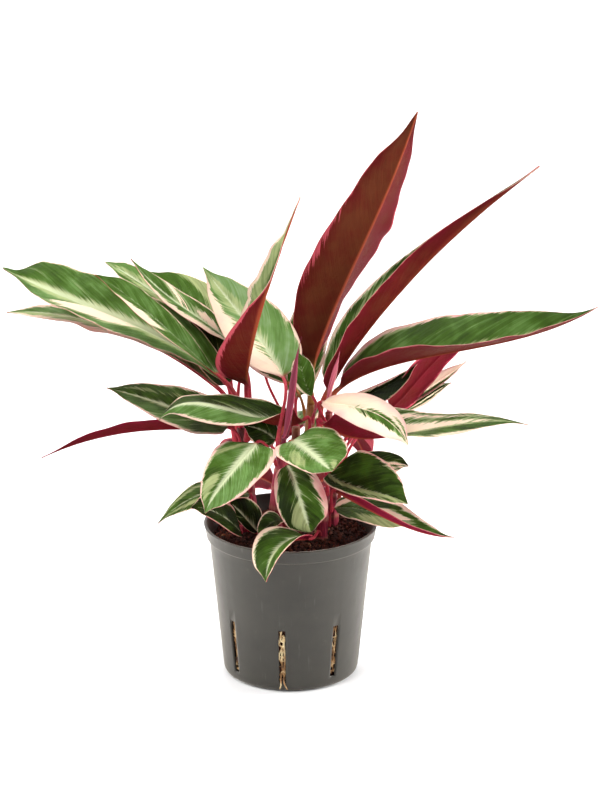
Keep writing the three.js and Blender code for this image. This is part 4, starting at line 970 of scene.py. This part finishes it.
def pot_piece(finish):
    """The pot, a profile turned about Z. Cells of the outer and inner wall that lie within half a slot
    width of a slot's middle and between its ends are left open, and strips close the cut edges."""
    slot_rows = np.linspace(SLOT_BOTTOM, SLOT_TOP, 9)
    outside = [(0, 0.6), (20, 0.6), (44, 0.6), (45.2, 0.3), (46, 0), (47.6, 0), (48.6, 0.35), (49.4, 1.1),
               (50.0, 2.2), (FOOT_RADIUS, FOOT_TOP)]
    outside += [(wall_radius(z), z) for z in (6, *slot_rows, 60, 75, 90, 100, 104.6)]
    outside += [(61.05, 105.3), (61.9, 105.9), (62.7, 106.15), (62.95, 106.6), (63.1, 108), (63.9, 112),
                (64.5, 114.9), (64.85, 115.6), (64.8, 115.95), (64.4, POT_HEIGHT), (62.9, POT_HEIGHT)]
    inside = [(62.55, 115.8), (62.4, 115.3), (62.2, 113.5), (61.4, 108), (60.0, 105.5), (59.4, 104)]
    inside += [(wall_radius(z) - WALL, z) for z in (90, 75, 60, *slot_rows[::-1], 6)]
    inside += [(48.6, 4), (47.4, 2.4), (45, 2), (20, 2), (0, 2)]
    profile = np.array(outside + inside, float)
    wall = profile[1:-1]
    half_slot = math.degrees(SLOT_WIDTH / 2 / wall_radius(30))
    marks = [FIRST_SLOT + SLOT_STEP * k for k in range(SLOTS)]
    stops = [[m - half_slot, *np.linspace(m + half_slot, m + SLOT_STEP - half_slot, 24)[:-1]] for m in marks]
    a = np.radians(np.sort(np.concatenate(stops)))
    sides = len(a)
    points, quads, caps = closed(turned(wall, a), [0, 0, profile[0, 1]], [0, 0, profile[-1, 1]])
    i, k = quads[:, 0] // sides, quads[:, 0] % sides
    middle = np.degrees(a[k] + ((a[(k + 1) % sides] - a[k]) % (2 * np.pi)) / 2)
    off = abs((middle - FIRST_SLOT + SLOT_STEP / 2) % SLOT_STEP - SLOT_STEP / 2)
    z0, z1 = wall[i, 1], wall[i + 1, 1]
    level = (np.minimum(z0, z1) > SLOT_BOTTOM - 0.01) & (np.maximum(z0, z1) < SLOT_TOP + 0.01)
    open_cell = (off < half_slot) & level
    low, high = (np.flatnonzero(abs(wall[:, 1] - z) < 0.01)[[0, -1]] for z in (SLOT_BOTTOM, SLOT_TOP))
    out_rows, in_rows = np.arange(low[0], high[0] + 1), np.arange(low[1], high[1] - 1, -1)
    rims = []
    for mark in marks:
        k0 = int(np.argmin(abs((np.degrees(a) - mark + half_slot + 180) % 360 - 180)))
        k1 = (k0 + 1) % sides
        for edge, flip in ((k0, False), (k1, True)):
            o, q = out_rows * sides + edge, in_rows * sides + edge
            strip = np.stack([o[:-1], o[1:], q[1:], q[:-1]], 1)
            rims.append(strip if flip else strip[:, ::-1])
        for (r_out, r_in), flip in ((low, False), (high, True)):
            strip = np.array([[r_out * sides + k0, r_out * sides + k1, r_in * sides + k1, r_in * sides + k0]])
            rims.append(strip[:, ::-1] if flip else strip)
    piece = mesh_piece("growing_pot", (points, np.vstack([quads[~open_cell]] + rims), caps), [finish])
    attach(piece, "root")
    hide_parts("pot")


def lumps(points, size, seed):
    """A bumpy height over places: size times a sum of sines along drawn directions."""
    draw = np.random.default_rng(seed)
    total = np.zeros(len(points))
    for k in range(14):
        d = draw.normal(size=3)
        d *= draw.uniform(0.5, 1.8) / np.linalg.norm(d)
        total += np.sin(points @ d + draw.uniform(0, 6.28)) / 14 ** 0.5
    return size * total


def root_ball_piece(finish):
    """The soil: a turned body whose side stands a little inside the pot and whose top is domed; its
    skin is pushed out and in by lumps of a few millimetres."""
    top = [(r, soil_height(r) - 1.0) for r in np.linspace(56.5, 1.5, 44)]
    side = [(wall_radius(z) - WALL - SOIL_GAP, z) for z in np.linspace(7, SOIL_TOP - 1.5, 64)]
    profile = np.array([(20, 2.5), (40, 2.5), (45.5, 2.8)] + side + top, float)
    sides = 260
    peak = [0, 0, SOIL_TOP + SOIL_DOME - 0.5]
    points, quads, caps = closed(turned(profile, turns(sides)), [0, 0, 2.5], peak)
    skin = points[:-2]
    high = np.repeat(profile[:, 1] > SOIL_TOP - 1, sides)
    rough = lumps(skin * 1.3, 0.55, 4) + lumps(skin * 2.6, 0.3, 5)
    skin[:, 2] += np.where(high, rough * 1.5 + lumps(skin * 0.12, 1.0, 6), 0)
    outward = skin[:, :2] / np.maximum(1, np.linalg.norm(skin[:, :2], axis=1, keepdims=True))
    skin[:, :2] += outward * np.where(high, 0, np.clip(rough, -2.0, 0.6))[:, None]
    shade = np.clip(0.28 + 0.25 * lumps(points * 2.0, 1.0, 8), 0, 0.7)
    piece = mesh_piece("root_ball", (points, quads, caps), [finish], {"shade": shade})
    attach(piece, "root")
    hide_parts("soil")


def granules_piece(finish):
    """Loose granules on the soil: one lump of thirty-five faces, drawn in size, turn and squash, set on the
    domed top at places drawn over the disc (radius times the root of a drawn number)."""
    draw = np.random.default_rng(11)
    count = GRANULES
    r = 57.0 * np.sqrt(draw.uniform(0, 1, count))
    a = draw.uniform(0, 2 * np.pi, count)
    centre = np.stack([r * np.cos(a), r * np.sin(a), soil_height(r) + draw.uniform(-0.8, 0.9, count)], 1)
    lat = np.linspace(-np.pi / 2, np.pi / 2, 6)[1:-1]
    half_circle = np.stack([np.cos(lat), np.sin(lat)], 1)
    ball, quads, caps = closed(turned(half_circle, turns(7)), [0, 0, -1], [0, 0, 1])
    size = draw.uniform(0.7, 2.1, (count, 1, 1)) * draw.uniform(0.6, 1.1, (count, 1, 3))
    lump = ball[None] * size * (1 + 0.22 * draw.normal(size=(count, len(ball), 1)))
    turn, tip = draw.uniform(0, 6.28, count), draw.uniform(-1.2, 1.2, count)
    c, s, c2, s2 = np.cos(turn), np.sin(turn), np.cos(tip), np.sin(tip)
    none, one = np.zeros(count), np.ones(count)
    matrix = lambda *rows: np.stack([np.stack(row, 1) for row in rows], 1)
    spin = matrix((c, -s, none), (s, c, none), (none, none, one))
    lean = matrix((c2, none, s2), (none, one, none), (-s2, none, c2))
    points = np.einsum("nij,njk,nvk->nvi", spin, lean, lump) + centre[:, None]
    first = np.arange(count)[:, None, None] * len(ball)
    quads, caps = (quads[None] + first).reshape(-1, 4), (caps[None] + first).reshape(-1, 3)
    shade = np.where(draw.uniform(size=count) > 0.985, 0.95, draw.uniform(0.1, 0.8, count))
    piece = mesh_piece("soil_granules", (points.reshape(-1, 3), quads, caps), [finish],
                       {"shade": np.repeat(shade, len(ball))})
    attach(piece, "root")


def roots_piece(finish):
    """Roots in the gap round the root ball: rings at five heights, strands that wander behind each slot
    on the gap's cone, and two that hang out of the slot nearest the front and down the wall."""
    draw = np.random.default_rng(23)
    gap = lambda z, out=0.0: wall_radius(z) - WALL - SOIL_GAP / 2 + out
    place = lambda turn, z, out: (gap(z, out) * math.cos(turn), gap(z, out) * math.sin(turn), z)
    shapes = []
    for z, thick in ((11, 0.75), (52, 0.75), (18, 0.5), (27, 0.45), (39, 0.5)):
        turn = np.linspace(0, 2 * np.pi, 160)
        height = z + 1.6 * ripple(turn, int(z))
        path = np.stack([gap(height) * np.cos(turn), gap(height) * np.sin(turn), height], 1)
        shapes.append(tube(path, thick, 8, (0, 0, 1)))
    for k in range(SLOTS):
        middle = math.radians(FIRST_SLOT + SLOT_STEP * k)
        for strand in range(5):
            heights = np.sort(draw.uniform(9, 51, 7))
            angles = middle + draw.uniform(-0.055, 0.055, 7)
            nodes = [place(t, z, draw.uniform(-0.5, 0.6)) for t, z in zip(angles, heights)]
            shapes.append(tube(catmull(nodes, np.linspace(0, 1, 60)), draw.uniform(0.28, 0.75), 8))
    front = math.radians(FIRST_SLOT)
    for way, foot in ((-1, -0.035), (1, 0.075)):
        nodes = [place(front + turn, z, out) for turn, z, out in
                 ((0.02 * way, 14, -0.2), (0.024 * way, 11.5, 0.8), (0.02 * way, 9.5, 3.0),
                  (0.5 * foot, 6, 4.0), (foot, 2.2, 4.2))]
        shapes.append(tube(catmull(nodes, np.linspace(0, 1, 50)), np.linspace(0.75, 0.4, 50), 10))
    piece = mesh_piece("root_strands", joined(shapes), [finish])
    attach(piece, "root")
    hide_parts("roots")


# ------------------------------------------------------------------ the plant in its pot

pot_piece(pot_finish())
growing_mix = soil_finish()
root_ball_piece(growing_mix)
granules_piece(growing_mix)
roots_piece(root_finish())
shoot_skin = shoot_finish()
for name in SHOOTS:
    shoot_piece(name, shoot_skin)
leaf_skins = leaf_finish("leaf upper side", True), leaf_finish("leaf underside", False)
rolled_skin = spear_finish()
for number, name in enumerate(LEAVES):
    if name.startswith("spear"):
        spear_piece(name, rolled_skin, number)
    else:
        leaf_piece(name, leaf_skins, number)

# ------------------------------------------------------------------ stage

corners = np.array([[-1, -1, 0], [1, -1, 0], [1, 1, 0], [-1, 1, 0]]) * FLOOR_REACH - [0, 0, 1.0]
one_face, no_faces = np.arange(4)[None], np.zeros((0, 3), int)
floor = mesh_piece("floor", (corners, one_face, no_faces), [floor_finish()], smooth=False)


def lamp(name, place, target, power, size):
    """A square soft light at a place, turned to a target, in metres and watts."""
    data = bpy.data.lights.new(name, "AREA")
    data.energy, data.shape, data.size = power, "SQUARE", size
    piece = bpy.data.objects.new(name, data)
    bpy.context.scene.collection.objects.link(piece)
    aim = np.array(target, float) - np.array(place, float)
    piece.location = place
    piece.rotation_euler = (math.acos(-aim[2] / np.linalg.norm(aim)), 0, math.atan2(-aim[0], aim[1]))


for settings in (
        ("key", (-1.0, -1.3, 1.9), (0, 0, 0.2), 24, 0.9),
        ("fill", (1.2, -1.5, 1.0), (0, 0, 0.2), 9, 1.0),
        ("side_left", (-1.5, 0.25, 0.5), (0, 0, 0.1), 26, 0.7),
        ("side_right", (1.5, 0.25, 0.5), (0, 0, 0.1), 34, 0.7),
        ("top", (0, 0.2, 2.2), (0, 0, 0.2), 40, 1.2),
        ("behind", (0, 2.6, 2.0), (0, 1.8, 0), 40, 1.6)):
    lamp(*settings)

world = bpy.data.worlds.new("studio")
world.use_nodes = True
surround = world.node_tree.nodes["Background"].inputs
surround["Color"].default_value, surround["Strength"].default_value = (1, 1, 1, 1), 0.5
bpy.context.scene.world = world
bpy.context.scene.view_settings.view_transform = "Standard"

camera_data = bpy.data.cameras.new("camera")
camera_data.sensor_width, camera_data.lens = 36.0, 194.85
camera_data.clip_start, camera_data.clip_end = 0.05, 60
camera = bpy.data.objects.new("camera", camera_data)
camera.location = (0.0069, -3.02748, 1.24855)
camera.rotation_euler = (math.radians(90 - LOOK_DOWN), 0, 0)
bpy.context.scene.collection.objects.link(camera)
bpy.context.scene.camera = camera
